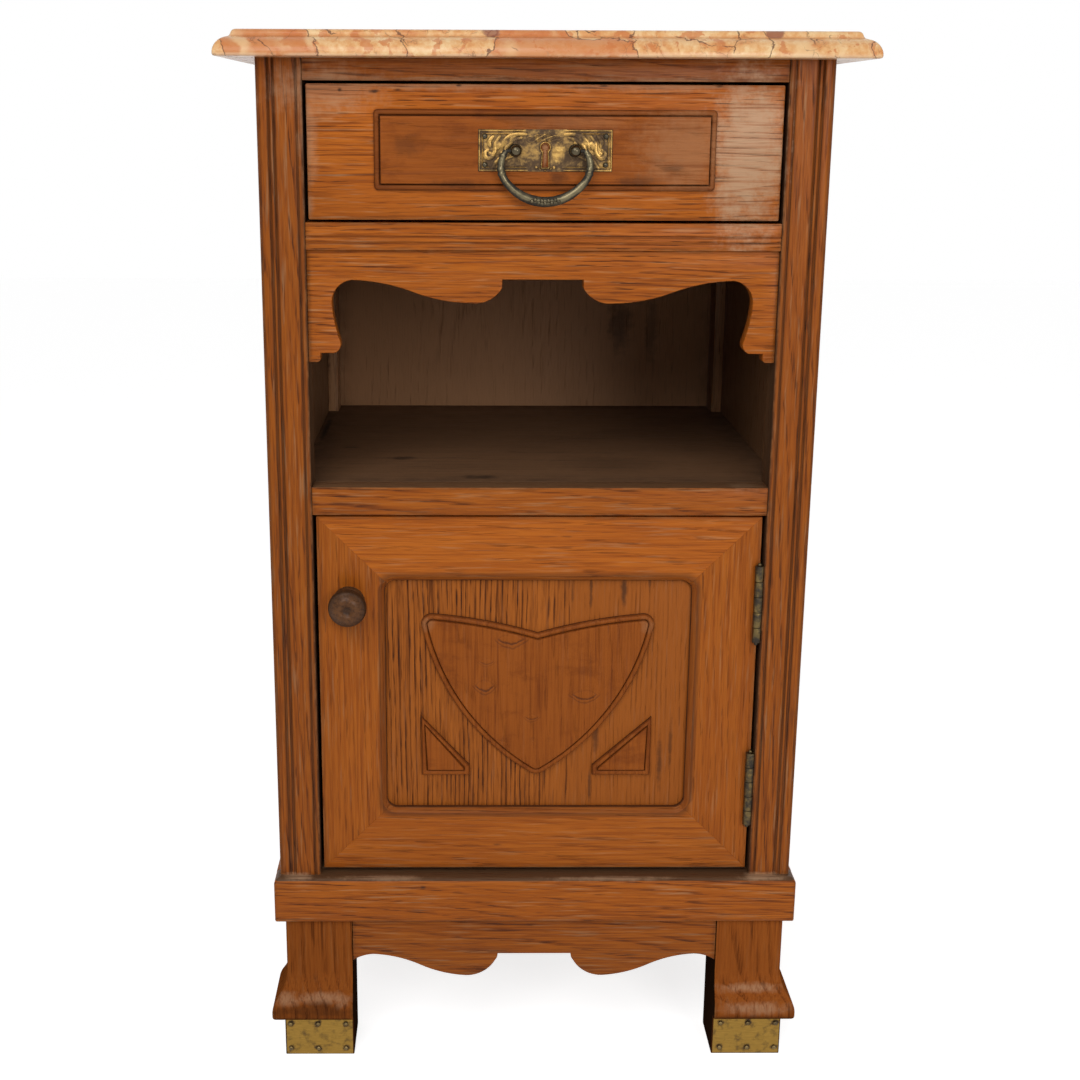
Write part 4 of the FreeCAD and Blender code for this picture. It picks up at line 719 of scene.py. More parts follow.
# grooves get painted shade with some dirt, and the feet painted shade below their toes
grooves = {"axis": {"front_left_post": 0, "front_right_post": 0, "drawer_divider": 2}, "depth": (0.8, 2.2),
           "floor": 0.8, "half": 0.6, "soft": 1.3, "apart": 1.6, "dirt": {"drawer_divider": 0.35},
           "usualShadeAndDirt": 0.66, "shadeAndDirtDeep": 3.0, "footBlock": (35.3, 40.0),
           "footDirt": {"front": 0.95, "rear": 0.5}}


def cutGrooves(shape, axis):
    # edges added beside each groove in the front face; the grooves' middles
    face = min(vert.co.y for vert in shape.verts)
    shallow, deep = grooves["depth"]
    sunk = [vert for vert in shape.verts if shallow < (vert.co.y - face) / mm < deep]
    floors = sorted(vert.co[axis] / mm for vert in sunk)
    for vert in sunk:
        vert.co.y = face + grooves["floor"] * mm
    middles = []
    for at in floors:
        if middles and at - middles[-1][-1] < grooves["apart"]:
            middles[-1].append(at)
        else:
            middles.append([at])
    middles = [(group[0] + group[-1]) / 2 for group in middles]
    normal = Vector((0, 0, 0))
    normal[axis] = 1
    for middle in middles:
        for side in (-1, 1):
            plane = normal * (middle + side * (grooves["half"] + grooves["soft"])) * mm
            everything = [*shape.verts, *shape.edges, *shape.faces]
            bmesh.ops.bisect_plane(shape, geom=everything, plane_co=plane, plane_no=normal, dist=10 * tiny)
    return middles


def openingGap(at):
    # how far a point of the door lies outside the frame's opening, in mm
    values = doorOpening
    half = np.array([values["halfWide"], (values["high"] - values["low"]) / 2]) - values["corner"]
    middle = np.array([0, (values["high"] + values["low"]) / 2])
    past = np.abs(at[:, [0, 2]] / mm - middle) - half
    return np.hypot(*np.maximum(past, 0).T) + np.minimum(past.max(1), 0) - values["corner"]


def markGrooves(node, mesh, middles):
    # painted shade with some dirt in and beside the grooves, painted shade under the feet's toes, and
    # nearness to the door's opening
    at = places(mesh)
    ahead = at[:, 1] - at[:, 1].min()
    dirt = np.zeros(len(at))
    most = grooves["dirt"].get(node, grooves["usualShadeAndDirt"])
    reach = [grooves["half"] + 0.05, grooves["half"] + grooves["soft"]]
    for middle in middles:
        away = np.abs(at[:, grooves["axis"][node]] / mm - middle)
        dirt = np.maximum(dirt, np.interp(away, reach, [most, 0.0]) * (ahead < grooves["shadeAndDirtDeep"] * mm))
    if node.endswith("foot"):
        dirt = np.interp(at[:, 2] / mm, grooves["footBlock"], [grooves["footDirt"][node.split("_")[0]], 0.0])
    spread(mesh, "dirt", dirt)
    if node.startswith("door_") and node.endswith(("stile", "rail")):
        near = np.maximum(0, doorRimShade["reach"] - openingGap(at)) * (ahead < doorOpening["deep"] * mm)
        spread(mesh, "frameNear", near)


for node, values in boards.items():
    shape = merged(node)
    middles = cutGrooves(shape, grooves["axis"][node]) if node in grooves["axis"] else []
    mesh = eased(meshFrom(shape, node), values.get("ease", 0.6) * mm)
    markGrooves(node, mesh, middles)
    markWood(mesh, values["grain"], values.get("tone", 0.0), values.get("pith"), values.get("dull"))
    settleFor(node, mesh, values.get("finish", "oak"))
print("boards made:", len(boards))


# outlines and islands read from the frame's solids

def outlines(node):
    # closed rings of (x, z) round the back faces of a node, the largest first
    shape = merged(node)
    back = max(vert.co.y for vert in shape.verts)
    flat = {face for face in shape.faces if all(abs(vert.co.y - back) < 10 * tiny for vert in face.verts)}
    nextTo = {}
    for edge in shape.edges:
        if sum(face in flat for face in edge.link_faces) == 1:
            for one, other in (edge.verts, reversed(edge.verts)):
                nextTo.setdefault(one, []).append(other)
    rings = []
    while nextTo:
        ring = [next(iter(nextTo))]
        while True:
            onward = [vert for vert in nextTo.pop(ring[-1]) if vert in nextTo]
            if not onward:
                break
            ring.append(onward[0])
        rings.append([Vector((vert.co.x, vert.co.z)) for vert in ring])
    shape.free()
    rings = [ring if area(ring) > 0 else ring[::-1] for ring in rings]
    return sorted(rings, key=area, reverse=True), back


def area(ring):
    return sum(a.x * b.y - b.x * a.y for a, b in zip(ring, ring[1:] + ring[:1])) / 2


def islands(node):
    # the lowest and highest corner of each separate solid of a node
    shape = merged(node)
    left = set(shape.verts)
    found = []
    while left:
        grown = {left.pop()}
        fresh = set(grown)
        while fresh:
            fresh = {edge.other_vert(vert) for vert in fresh for edge in vert.link_edges} & left
            left -= fresh
            grown |= fresh
        at = np.array([vert.co for vert in grown])
        found.append((at.min(0), at.max(0)))
    shape.free()
    return found


def crossing(a, b, c, d):
    # where the line through a and b meets the line through c and d
    first, second = b - a, d - c
    turn = first.x * second.y - first.y * second.x
    if abs(turn) < 1e-12:
        return (b + c) / 2
    return a + first * (((c.x - a.x) * second.y - (c.y - a.y) * second.x) / turn)


def inset(ring, distance):
    # the ring moved inwards, with corners that are used up drawn to one point
    count = len(ring)
    moved = []
    sharpest = 0.45        # a sharper corner is not followed all the way
    for before, here, after in zip(ring[-1:] + ring[:-1], ring, ring[1:] + ring[:1]):
        first, second = (here - before).normalized(), (after - here).normalized()
        inward = Vector((-first.y, first.x)) + Vector((-second.y, second.x))
        moved.append(here + distance * inward / max(sharpest, inward.length_squared / 2))
    def span(line, i):
        return line[(i + 1) % count] - line[i]

    spent = [span(moved, i).dot(span(ring, i)) <= 0 for i in range(count)]
    result = list(moved)
    for start in range(count):
        if spent[start] and not spent[start - 1]:
            end = start
            while spent[end % count]:
                end += 1
            corner = crossing(moved[start - 1], moved[start], moved[end % count], moved[(end + 1) % count])
            for i in range(start, end + 1):
                result[i % count] = corner
    return result


# overlays with a roll moulding: the drawer's tablet, the heart and the two triangles

# the last two numbers darken the bead and its quirk: painted shade
overlays = {
    "drawer_tablet": {"grain": "x", "tone": -0.02, "rim": 1.6, "bead": 1.9, "field": 4.5, "soil": 0.38,
                      "quirk": 0.9},
    "heart_overlay": {"grain": "z", "tone": -0.08, "rim": 2.2, "bead": 2.0, "field": 4.8, "soil": 0.06,
                      "quirk": 0.36},
    "triangle_overlays": {"grain": "z", "tone": -0.06, "rim": 2.2, "bead": 1.9, "field": 4.6, "soil": 0.1,
                          "quirk": 0.45},
}
# the keyhole's edge and floor darkened: painted shade in the hole
keyhole = {"depth": 1.3, "edgeDirt": 0.2, "floorDirt": 0.45, "largest": 300.0}        # closed, as it looks


def rollProfile(values):
    # (inset, height, painted shade and dirt) in mm from the back of the rim over the bead and its quirk to
    # the field
    rim, bead, field, soil = (values[key] for key in ("rim", "bead", "field", "soil"))
    middle = bead + 0.25
    # a painted shadow line at the foot of the rim, then painted shade over the bead's sides and in its quirk
    steps = [(0.0, 0.0, 1.0), (0.0, 0.5, 1.0), (0.05, rim, 0.55)]
    for turn in range(1, 10):
        angle = math.pi * turn / 10
        steps.append((middle - bead * math.cos(angle), rim + bead * math.sin(angle),
                      soil if 2 < turn < 8 else soil + 0.3))
    foot = middle + bead
    dark = values["quirk"]
    return steps + [(foot + 0.15, rim - 0.3, dark), (foot + 0.45, rim - 0.2, dark),
                    (foot + 0.6, field - 0.7, dark * 0.5), (foot + 0.9, field - 0.2, 0.1),
                    (foot + 1.5, field, 0.0), (foot + 3.0, field, 0.0)]


def moulded(rings, back, profile):
    # boards with the profile round their outlines; smaller rings inside are sunk like the keyhole
    shape = bmesh.new()
    soil = shape.verts.layers.float.new("dirt")
    holes = [ring for ring in rings if area(ring) < keyhole["largest"] * mm * mm]

    def row(ring, height, dirt):
        points = []
        for x, z in ring:
            vert = shape.verts.new((x, back - height * mm, z))
            vert[soil] = dirt
            points.append(vert)
        return points

    def closed(rows):
        edges = []
        for verts in rows:
            edges += [shape.edges.get((verts[i - 1], verts[i])) or shape.edges.new((verts[i - 1], verts[i]))
                      for i in range(len(verts))]
        bmesh.ops.triangle_fill(shape, edges=edges, use_beauty=True)

    for ring in rings:
        if ring in holes:
            continue
        rows = [row(inset(ring, step * mm), height, dirt) for step, height, dirt in profile]
        for lower, upper in zip(rows, rows[1:]):
            wall(shape, lower, upper)
        field = profile[-1][1]
        fronts = [rows[-1]]
        for hole in holes:
            fronts.append(row(hole, field, keyhole["edgeDirt"]))
            floor = row(hole, field - keyhole["depth"], keyhole["floorDirt"])
            wall(shape, floor, fronts[-1])
            closed([floor])
        bmesh.ops.remove_doubles(shape, verts=rows[-1], dist=tiny)
        fronts[0] = [vert for vert in rows[-1] if vert.is_valid]
        closed([rows[0]])
        closed(fronts)
    return shape


for node, values in overlays.items():
    rings, back = outlines(node)
    mesh = finished(moulded(rings, back, rollProfile(values)), node, 40, join=True)
    markWood(mesh, values["grain"], values["tone"])
    settleFor(node, mesh, "figured")
print("overlays made:", len(overlays))


# turned pieces: a profile of (radius, way along) in mm spun round an axis along -Y

def smoothLine(points, steps=6):
    # a soft curve through the points
    line = []
    ends = [points[0], *points, points[-1]]
    for before, start, end, after in zip(ends, ends[1:], ends[2:], ends[3:]):
        for step in range(steps):
            t = step / steps
            line.append(tuple(0.5 * (2 * b + (c - a) * t + (2 * a - 5 * b + 4 * c - d) * t * t
                                     + (3 * b - a - 3 * c + d) * t ** 3)
                              for a, b, c, d in zip(before, start, end, after)))
    return line + [points[-1]]


def turned(shape, profile, x, y, z, sides=48):
    rows = []
    circle = [2 * math.pi * side / sides for side in range(sides)]
    for radius, way in profile:
        if radius < tiny / mm:
            rows.append([shape.verts.new((x, y - way * mm, z))])
            continue
        around = [(radius * mm * math.cos(a), radius * mm * math.sin(a)) for a in circle]
        rows.append([shape.verts.new((x + across, y - way * mm, z + up)) for across, up in around])
    for lower, upper in zip(rows, rows[1:]):
        for side in range(sides):
            corners = [row[(side + step) % sides] if len(row) > 1 else row[0]
                       for row, step in ((lower, 0), (lower, 1), (upper, 1), (upper, 0))]
            shape.faces.new(dict.fromkeys(corners))


knob = {"face": [(0.0, 0.0), (11.2, 0.0), (11.9, 0.8), (11.8, 2.6), (10.6, 4.0), (8.6, 5.2), (7.6, 7.0),
                 (8.6, 8.8), (11.4, 10.4), (13.4, 11.7), (14.1, 13.2), (14.3, 15.2), (14.1, 17.4),
                 (13.2, 19.4), (12.0, 20.4), (9.9, 22.1), (7.6, 23.3), (6.0, 23.6), (4.8, 23.2), (3.4, 22.2),
                 (1.8, 21.5), (0.0, 21.3)],
        "spindle": 4.0, "grain": "y", "step": 12.6, "dimple": 4.2, "neck": 9.6, "neckEnd": 10.0,
        "frontStart": 19.0, "rim": (9.0, 13.8),
        "dirt": {"step": 0.45, "dimple": 0.75, "rim": 0.8, "neck": 0.8}}


def makeKnob(values):
    low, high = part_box("door_knob")
    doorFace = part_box("door_left_stile")[0].y
    x, z = (low.x + high.x) / 2, (low.z + high.z) / 2
    shape = bmesh.new()
    turned(shape, smoothLine(values["face"], 4), x, doorFace, z)
    length = (high.y - doorFace) / mm
    spindle = values["spindle"]
    rod = [(0.0, -length), (spindle - 0.4, -length), (spindle, 0.4 - length), (spindle, 0.2), (0.0, 0.2)]
    turned(shape, rod, x, doorFace, z, 32)
    mesh = finished(shape, "knob", 50, join=True)
    at = places(mesh)
    reach = np.hypot(at[:, 0] - x, at[:, 2] - z) / mm
    ahead = (doorFace - at[:, 1]) / mm
    # painted shade in the step groove, the dimple and the neck, and towards the rim
    most = values["dirt"]
    dirt = np.interp(np.abs(reach - values["step"]), [0.2, 1.0], [most["step"], 0.0])
    dirt += np.interp(reach, [values["dimple"] * 0.5, values["dimple"]], [most["dimple"], 0.0])
    dirt = np.where(ahead > values["frontStart"], dirt, 0.0)
    dirt = np.maximum(dirt, np.interp(reach, values["rim"], [0.0, most["rim"]]))
    inNeck = (ahead < values["neckEnd"]) & (reach < values["neck"])
    spread(mesh, "dirt", np.maximum(dirt, np.where(inNeck, most["neck"], 0.0)))
    markWood(mesh, values["grain"])
    settleFor("door_knob", mesh, "knob")


makeKnob(knob)


# marble slab: a rounded nose under a leaning step, along the front and both ends

slab = {"node": "marble_top", "corner": 1.4,
        "profile": [(4.5, 0.0), (2.0, 0.0), (0.5, 0.5), (0.0, 1.7), (0.0, 3.0), (0.5, 5.4), (1.8, 8.1),
                    (3.8, 10.4), (6.2, 12.0), (8.4, 12.8), (9.8, 13.2), (10.7, 13.9), (11.3, 15.0),
                    (11.8, 16.3), (12.6, 17.3), (13.6, 17.8), (14.9, 18.0), (17.5, 18.0)]}


def makeSlab(values):
    node = values["node"]
    low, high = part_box(node)
    soft = values["corner"] * mm
    turn = 0.3 * soft
    shape = bmesh.new()
    rows = []
    for back, rise in smoothLine(values["profile"], 3):
        edge = max(back, 0.0) * mm
        z = min(max(low.z + rise * mm, low.z), high.z)
        left, right, front = low.x + edge, high.x - edge, low.y + edge
        plan = [(left, high.y), (left, front + soft), (left + turn, front + turn), (left + soft, front),
                (right - soft, front), (right - turn, front + turn), (right, front + soft), (right, high.y)]
        rows.append([shape.verts.new((x, y, z)) for x, y in plan])
    for lower, upper in zip(rows, rows[1:]):
        wall(shape, lower, upper)
    shape.faces.new(rows[0][::-1])
    shape.faces.new(rows[-1])
    settle("marbleSlab", finished(shape, "slab", 40), "marble", bodyOf[node], slotOf[node], node)


makeSlab(slab)


# backplate of the pull: a stamped sheet with leaf scrolls, a ribbon and a raised keyhole rim

plate = {"cell": 0.3, "ground": 0.55, "ripple": 0.06, "rimRidge": 0.7, "rimLines": [(0.8, 0.7), (2.9, 0.5)],
         "least": 0.35, "most": 1.75, "scrollWidth": 1.7, "scrollHeight": 0.9, "lumpHeight": 0.8,
         "keyHead": 2.9, "keyNeck": 1.15, "keyFoot": 2.2, "keyDrop": 13.5, "keyRise": 2.2, "keyRim": 0.8,
         "keyRimAt": 0.55, "keyRimHalf": 0.6, "keyClear": 1.5,
         "scrolls": [[(13.2, 10.8), (19.0, 11.0), (25.0, 9.4), (29.0, 5.6), (29.8, 2.0)],
                     [(16.5, 8.6), (22.0, 6.6), (26.6, 2.4), (27.4, -1.4), (25.0, -2.4)],
                     [(31.5, 9.6), (34.6, 4.8), (35.0, -0.6), (37.6, -4.6), (41.0, -4.6), (41.6, -1.4),
                      (39.6, 0.4)],
                     [(22.0, -3.4), (28.4, -5.6), (33.8, -11.4)],
                     [(25.0, -2.4), (32.2, -6.2), (37.0, -12.0)],
                     [(36.2, 9.6), (38.8, 6.0), (38.2, 2.8)],
                     [(20.2, 10.4), (24.0, 7.4), (24.6, 3.4)]],
         "lumps": [(27.6, 5.2, 3.4), (32.8, 3.4, 3.0), (29.4, -2.6, 2.4), (38.4, -2.0, 1.6), (21.0, 5.0, 1.8),
                   (3.4, -11.9, 1.3), (6.2, -11.4, 1.2), (0.0, -12.7, 1.1)],
         "gold": [(-41.5, 1.0, 2.2, 5.2), (-35.0, 0.0, 3.0, 4.0), (9.4, -1.2, 4.0, 6.0),
                  (29.0, 3.0, 4.0, 5.0), (36.5, 1.5, 2.0, 6.0), (45.0, 0.0, 1.2, 13.0)],
         "ribbons": 6, "ribbonStep": 0.85, "ribbonHalf": 12.8, "ribbonTop": 10.9, "ribbonFall": 2.4,
         "ribbonHeight": 0.42, "ribbonWidth": 0.36, "crestReach": 4, "backShine": 0.1}


def dome(away):
    # 1 in the middle, falling to 0 where the distance is 1
    return np.clip(1 - away ** 2, 0, 1)


def ridge(across, along, points, width, height):
    # the height of a raised line through the points, thin at both ends
    line = np.array(smoothLine(points, 8))
    share = np.sin(np.linspace(0.08, 0.92, len(line)) * math.pi)
    found = np.zeros_like(across)
    for (u, v), part in zip(line, share):
        away = np.hypot(across - u, along - v) / (width * (0.45 + 0.55 * part))
        found = np.maximum(found, height * (0.5 + 0.5 * part) * np.sqrt(dome(away)))
    return found


def plateHeight(values, u, v, halfWide, halfTall):
    side = np.abs(u)
    edge = np.minimum(halfWide - side, halfTall - np.abs(v))
    ground = values["ground"]
    height = ground + values["ripple"] * np.sin(u * 1.7 + 2 * np.sin(v)) * np.cos(v * 1.3)
    rimShare = np.clip((side - values["ribbonHalf"]) / 3 + (v < 0) * 0.45, 0, 1)
    for at, width in values["rimLines"]:
        height += values["rimRidge"] * rimShare * dome((edge - at) / width)
    for points in values["scrolls"]:
        scroll = ridge(side, v, points, values["scrollWidth"], values["scrollHeight"])
        height = np.maximum(height, ground + scroll)
    for x, z, size in values["lumps"]:
        lump = np.sqrt(dome(np.hypot(side - x, v - z) / size))
        height = np.maximum(height, ground + values["lumpHeight"] * lump)
    share = np.clip(side / values["ribbonHalf"], 0, 1)
    for ribbon in range(values["ribbons"]):
        level = values["ribbonTop"] - values["ribbonStep"] * ribbon - values["ribbonFall"] * share ** 2
        level += 0.25 * np.sin(u * 0.9 + ribbon * 1.7)
        height += values["ribbonHeight"] * dome((v - level) / values["ribbonWidth"]) * (1 - share ** 4)
    return height


def plateGold(values, u, v):
    # patches rubbed bright
    found = np.zeros_like(u)
    for x, z, wide, tall in values["gold"]:
        found = np.maximum(found, np.clip(1.3 - np.hypot((u - x) / wide, (v - z) / tall), 0, 1))
    return found


def keyholeGap(values, u, v):
    # distance outside the keyhole's outline, less than nothing inside it
    v = v - values["keyRise"]
    head = np.hypot(u, v) - values["keyHead"]
    slotSide = np.abs(u) - np.interp(-v, [0, values["keyDrop"]], [values["keyNeck"], values["keyFoot"]])
    slotEnd = np.abs(v + values["keyDrop"] / 2) - values["keyDrop"] / 2
    corner = (slotSide > 0) & (slotEnd > 0)
    slot = np.where(corner, np.hypot(slotSide, slotEnd), np.maximum(slotSide, slotEnd))
    return np.minimum(head, slot)


def ontoKeyhole(values, u, v):
    # the points nearest to the keyhole's outline drawn onto it
    step = 0.01
    for _ in range(3):
        gap = keyholeGap(values, u, v)
        near = np.abs(gap) < 0.55 * values["cell"]
        slopeU = (keyholeGap(values, u + step, v) - keyholeGap(values, u - step, v)) / (2 * step)
        slopeV = (keyholeGap(values, u, v + step) - keyholeGap(values, u, v - step)) / (2 * step)
        u = np.where(near, u - gap * slopeU, u)
        v = np.where(near, v - gap * slopeV, v)
    return u, v


def makePlate(values):
    low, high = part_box("pull_backplate")
    middle = (low + high) / 2
    halfWide, halfTall = (high.x - low.x) / 2 / mm, (high.z - low.z) / 2 / mm
    columns = round(2 * halfWide / values["cell"]) + 1
    rows = round(2 * halfTall / values["cell"]) + 1
    u, v = np.meshgrid(np.linspace(-halfWide, halfWide, columns), np.linspace(-halfTall, halfTall, rows))
    u, v = ontoKeyhole(values, u.ravel(), v.ravel())
    gap = keyholeGap(values, u, v)
    height = plateHeight(values, u, v, halfWide, halfTall)
    height = np.where(gap < values["keyClear"], values["ground"], height)
    height += values["keyRim"] * dome((gap - values["keyRimAt"]) / values["keyRimHalf"])
    height = np.clip(height, values["least"], values["most"])
    reach = values["crestReach"]
    wide = 2 * reach + 1
    padded = np.pad(height.reshape(rows, columns), reach, mode="edge")
    around = sum(padded[i:i + rows, j:j + columns] for i in range(wide) for j in range(wide))
    crest = height - around.ravel() / wide ** 2
    bare = np.maximum(plateGold(values, u, v), np.clip(1 - np.abs(gap - 0.5) / 0.6, 0, 1))
    shine = np.clip(0.26 + 0.85 * crest + 0.1 * (height - 0.6) + 0.5 * bare, 0, 1)
    shape = bmesh.new()
    relief = shape.verts.layers.float.new("relief")
    verts = []
    for x, z, rise, bright in zip(u, v, height, shine):
        vert = shape.verts.new((middle.x + x * mm, high.y - rise * mm, middle.z + z * mm))
        vert[relief] = bright
        verts.append(vert)
    for row in range(rows - 1):
        for column in range(columns - 1):
            first = row * columns + column
            corners = (first, first + 1, first + columns + 1, first + columns)
            if max(gap[corner] for corner in corners) > 0.01:
                shape.faces.new([verts[corner] for corner in corners])
    loose = [vert for vert in shape.verts if not vert.link_faces]
    bmesh.ops.delete(shape, geom=loose, context="VERTS")
    grown, openEdges = drawnBack(shape, high.y)
    for vert in grown:
        vert[relief] = values["backShine"]
    bmesh.ops.triangle_fill(shape, edges=openEdges, use_beauty=True)
    settleFor("pull_backplate", finished(shape, "plate", 50), "brass")


makePlate(plate)


# studs and bail of the pull

pull = {"collar": [(0.0, 0.0), (4.4, 0.0), (4.4, 0.7), (3.6, 1.5), (2.6, 2.0), (2.2, 2.6), (2.4, 3.2),
                   (0.0, 3.2)],
        "collarSunk": 0.9, "ball": 3.9, "ballMiddle": 3.5, "shank": 1.8, "bailDrop": 34.5, "shoulder": 25.5,
        "shoulderRise": 11.5, "bulge": 31.0, "bulgeShare": 0.45, "endOffset": 6.8, "endRadius": 1.8,
        "sideRadius": 2.6, "lowRadius": 3.3, "depth": 0.68, "rings": [0.70, 0.755, 0.93], "ringHeight": 0.55,
        "ringHalf": 0.016, "rib": 0.07, "sides": 28, "pin": 1.25, "pinInside": 2.45, "pinSides": 16,
        "beadRadius": 1.5, "beads": 9, "beadGap": 2.3, "beadFlat": 0.8, "beadUp": 0.85, "beadDown": -0.75}


def pullPlaces(values):
    # face of the plate, inner end of the studs, and their x, y and level
    balls = islands("pull_studs")
    low, high = balls[0]
    inner = max(corner[1][1] for corner in balls)
    return {"face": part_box("pull_backplate")[0].y, "inner": inner, "x": abs(low[0] + high[0]) / 2,
            "y": low[1] + values["ballMiddle"] * mm, "level": (low[2] + high[2]) / 2}


def arcThrough(start, middle, end, steps):
    # points on the circle through three places
    (ax, ay), (bx, by), (cx, cy) = start, middle, end
    a, b, c = (x * x + y * y for x, y in (start, middle, end))
    d = 2 * (ax * (by - cy) + bx * (cy - ay) + cx * (ay - by))
    ux = (a * (by - cy) + b * (cy - ay) + c * (ay - by)) / d
    uy = (a * (cx - bx) + b * (ax - cx) + c * (bx - ax)) / d
    first, last = math.atan2(ay - uy, ax - ux), math.atan2(cy - uy, cx - ux)
    turn = (last - first) % (2 * math.pi)
    radius = math.hypot(ax - ux, ay - uy)
    angles = [first + turn * i / steps for i in range(steps + 1)]
    return [(ux + radius * math.cos(angle), uy + radius * math.sin(angle)) for angle in angles]


def bailLine(values, studX):
    # the bail's middle line from its lowest point to its right end, (x, z) in mm about the studs' level
    shoulder = (values["shoulder"], values["shoulderRise"] - values["bailDrop"])
    lower = arcThrough((-shoulder[0], shoulder[1]), (0.0, -values["bailDrop"]), shoulder, 80)[40:]
    bulge = (values["bulge"], shoulder[1] * values["bulgeShare"])
    upper = arcThrough(shoulder, bulge, (studX + values["endOffset"], 0.0), 36)[1:]
    line = np.array(lower + upper)
    for _ in range(12):
        line[1:-1] = (line[:-2] + 2 * line[1:-1] + line[2:]) / 4
    return line


def makeStuds(values, spot):
    face, level = spot["face"], spot["level"]
    shape = bmesh.new()
    middle = (face - spot["y"]) / mm
    inner = (face - spot["inner"]) / mm
    turns = [math.pi * i / 20 for i in range(1, 20)]
    ball = [(values["ball"] * math.sin(turn), middle - values["ball"] * math.cos(turn)) for turn in turns]
    ball = [(0.0, middle - values["ball"]), *ball, (0.0, middle + values["ball"])]
    shank = [(0.0, inner), (values["shank"], inner), (values["shank"], 0.0), (0.0, 0.0)]
    for x in (-spot["x"], spot["x"]):
        turned(shape, values["collar"], x, face + values["collarSunk"] * mm, level, 40)
        turned(shape, ball, x, face, level, 40)
        turned(shape, shank, x, face, level, 24)
    mesh = finished(shape, "studs", 45, join=True)
    ahead = (face - places(mesh)[:, 1]) / mm
    spread(mesh, "relief", np.clip((ahead - 1.0) / 5.0, 0.1, 0.85))
    settleFor("pull_studs", mesh, "stud")


def makeBail(values, spot, right):
    studX, studY, level = spot["x"] / mm, spot["y"], spot["level"]
    line = np.vstack([right[:0:-1] * (-1, 1), right])
    way = np.concatenate([[0], np.cumsum(np.hypot(*np.diff(line, axis=0).T))])
    share = np.abs(2 * way / way[-1] - 1)
    slope = np.gradient(line, axis=0)
    slope /= np.hypot(*slope.T)[:, None]
    low, side, end = (values[key] for key in ("lowRadius", "sideRadius", "endRadius"))
    radii = [low, low * 0.97, side, side * 0.85, end]
    shape = bmesh.new()
    shine = shape.verts.layers.float.new("relief")
    circle = [2 * math.pi * i / values["sides"] for i in range(values["sides"])]
    rows = []
    for (x, z), (dx, dz), part in zip(line, slope, share):
        broad = np.interp(part, [0, 0.2, 0.55, 0.85, 1], radii)
        swell = sum(values["ringHeight"] * max(0.0, 1 - ((part - at) / values["ringHalf"]) ** 2)
                    for at in values["rings"])
        row = []
        for angle in circle:
            rib = 1 + values["rib"] * math.cos(4 * angle)
            out = (broad * rib + swell) * math.cos(angle)
            ahead = (broad * values["depth"] * rib + swell) * math.sin(angle)
            vert = shape.verts.new(((x + dz * out) * mm, studY - ahead * mm, level + (z - dx * out) * mm))
            # the bail's front lighter and its sides darker through less and more tarnish: a painted highlight
            # and painted shade
            vert[shine] = 0.05 + 0.85 * max(0.0, math.sin(angle)) ** 4 + 0.15 * (swell > 0.2)
            row.append(vert)
        rows.append(row)
    for lower, upper in zip(rows, rows[1:]):
        wall(shape, lower, upper)
    circle = [2 * math.pi * i / values["pinSides"] for i in range(values["pinSides"])]
    ends = [rows[0], rows[-1]]
    for hand in (-1, 1):
        rims = []
        for reach in (studX + values["endOffset"], studX - values["pinInside"]):
            middle = Vector((hand * reach * mm, studY, level))
            around = [Vector((0, math.cos(angle), math.sin(angle))) * values["pin"] * mm for angle in circle]
            rims.append([shape.verts.new(middle + away) for away in around])
        wall(shape, *rims)
        ends += rims
    for rim in ends:
        shape.faces.new(rim)
    settleFor("pull_bail", finished(shape, "bail", 50), "bronze")


pullSpot = pullPlaces(pull)
bailMiddle = bailLine(pull, pullSpot["x"] / mm)
makeStuds(pull, pullSpot)
makeBail(pull, pullSpot, bailMiddle)


# small round heads on points: one node tree for nails, pins and beads

def makeHeads():
    inputs = [("Geometry", "Geometry", None), ("Radius", "Float", 0.0015), ("Flatness", "Float", 0.6),
              ("Tilt", "Float", 0.1), ("Seed", "Int", 3), ("Finish", "Material", None)]
    tree, given, result = newGroup("roundHeads", inputs, ["Geometry"], "Geometry", "GeometryNodeTree")
    ball = made(tree, "GeometryNodeMeshUVSphere", {"Segments": 16, "Rings": 9, "Radius": given["Radius"]})
    squash = made(tree, "ShaderNodeCombineXYZ", {0: 1.0, 1: given["Flatness"], 2: 1.0})
    head = made(tree, "GeometryNodeTransform", {"Geometry": ball, "Scale": squash})
    most = made(tree, "ShaderNodeCombineXYZ", {0: given["Tilt"], 2: given["Tilt"]})
    least = made(tree, "ShaderNodeVectorMath", {0: most, "Scale": -1.0}, operation="SCALE")
    ways = {0: least, 1: most, "Seed": given["Seed"]}
    lean = made(tree, "FunctionNodeRandomValue", ways, data_type="FLOAT_VECTOR")
    spots = {"Points": given["Geometry"], "Instance": head, "Rotation": lean}
    heads = made(tree, "GeometryNodeInstanceOnPoints", spots)
    heads = made(tree, "GeometryNodeRealizeInstances", {0: heads})
    heads = made(tree, "GeometryNodeSetShadeSmooth", {0: heads})
    heads = made(tree, "GeometryNodeSetMaterial", {"Geometry": heads, "Material": given["Finish"]})
    link(heads, result[0])
    return tree, {item.name: item.identifier for item in tree.interface.items_tree if item.in_out == "INPUT"}


roundHeads, headSockets = makeHeads()


def headsOn(points, name, finish, **sizes):
    # a plain mesh of heads, one on each point
    cloud = bpy.data.meshes.new(name)
    cloud.from_pydata([tuple(point) for point in points], [], [])
    inputs = {headSockets[label]: value for label, value in dict(sizes, Finish=finishes[finish]).items()}
    mesh = evaluated(cloud, "NODES", {"node_group": roundHeads}, inputs)
    spread(mesh, "relief", np.full(len(mesh.vertices), 0.8))
    return mesh


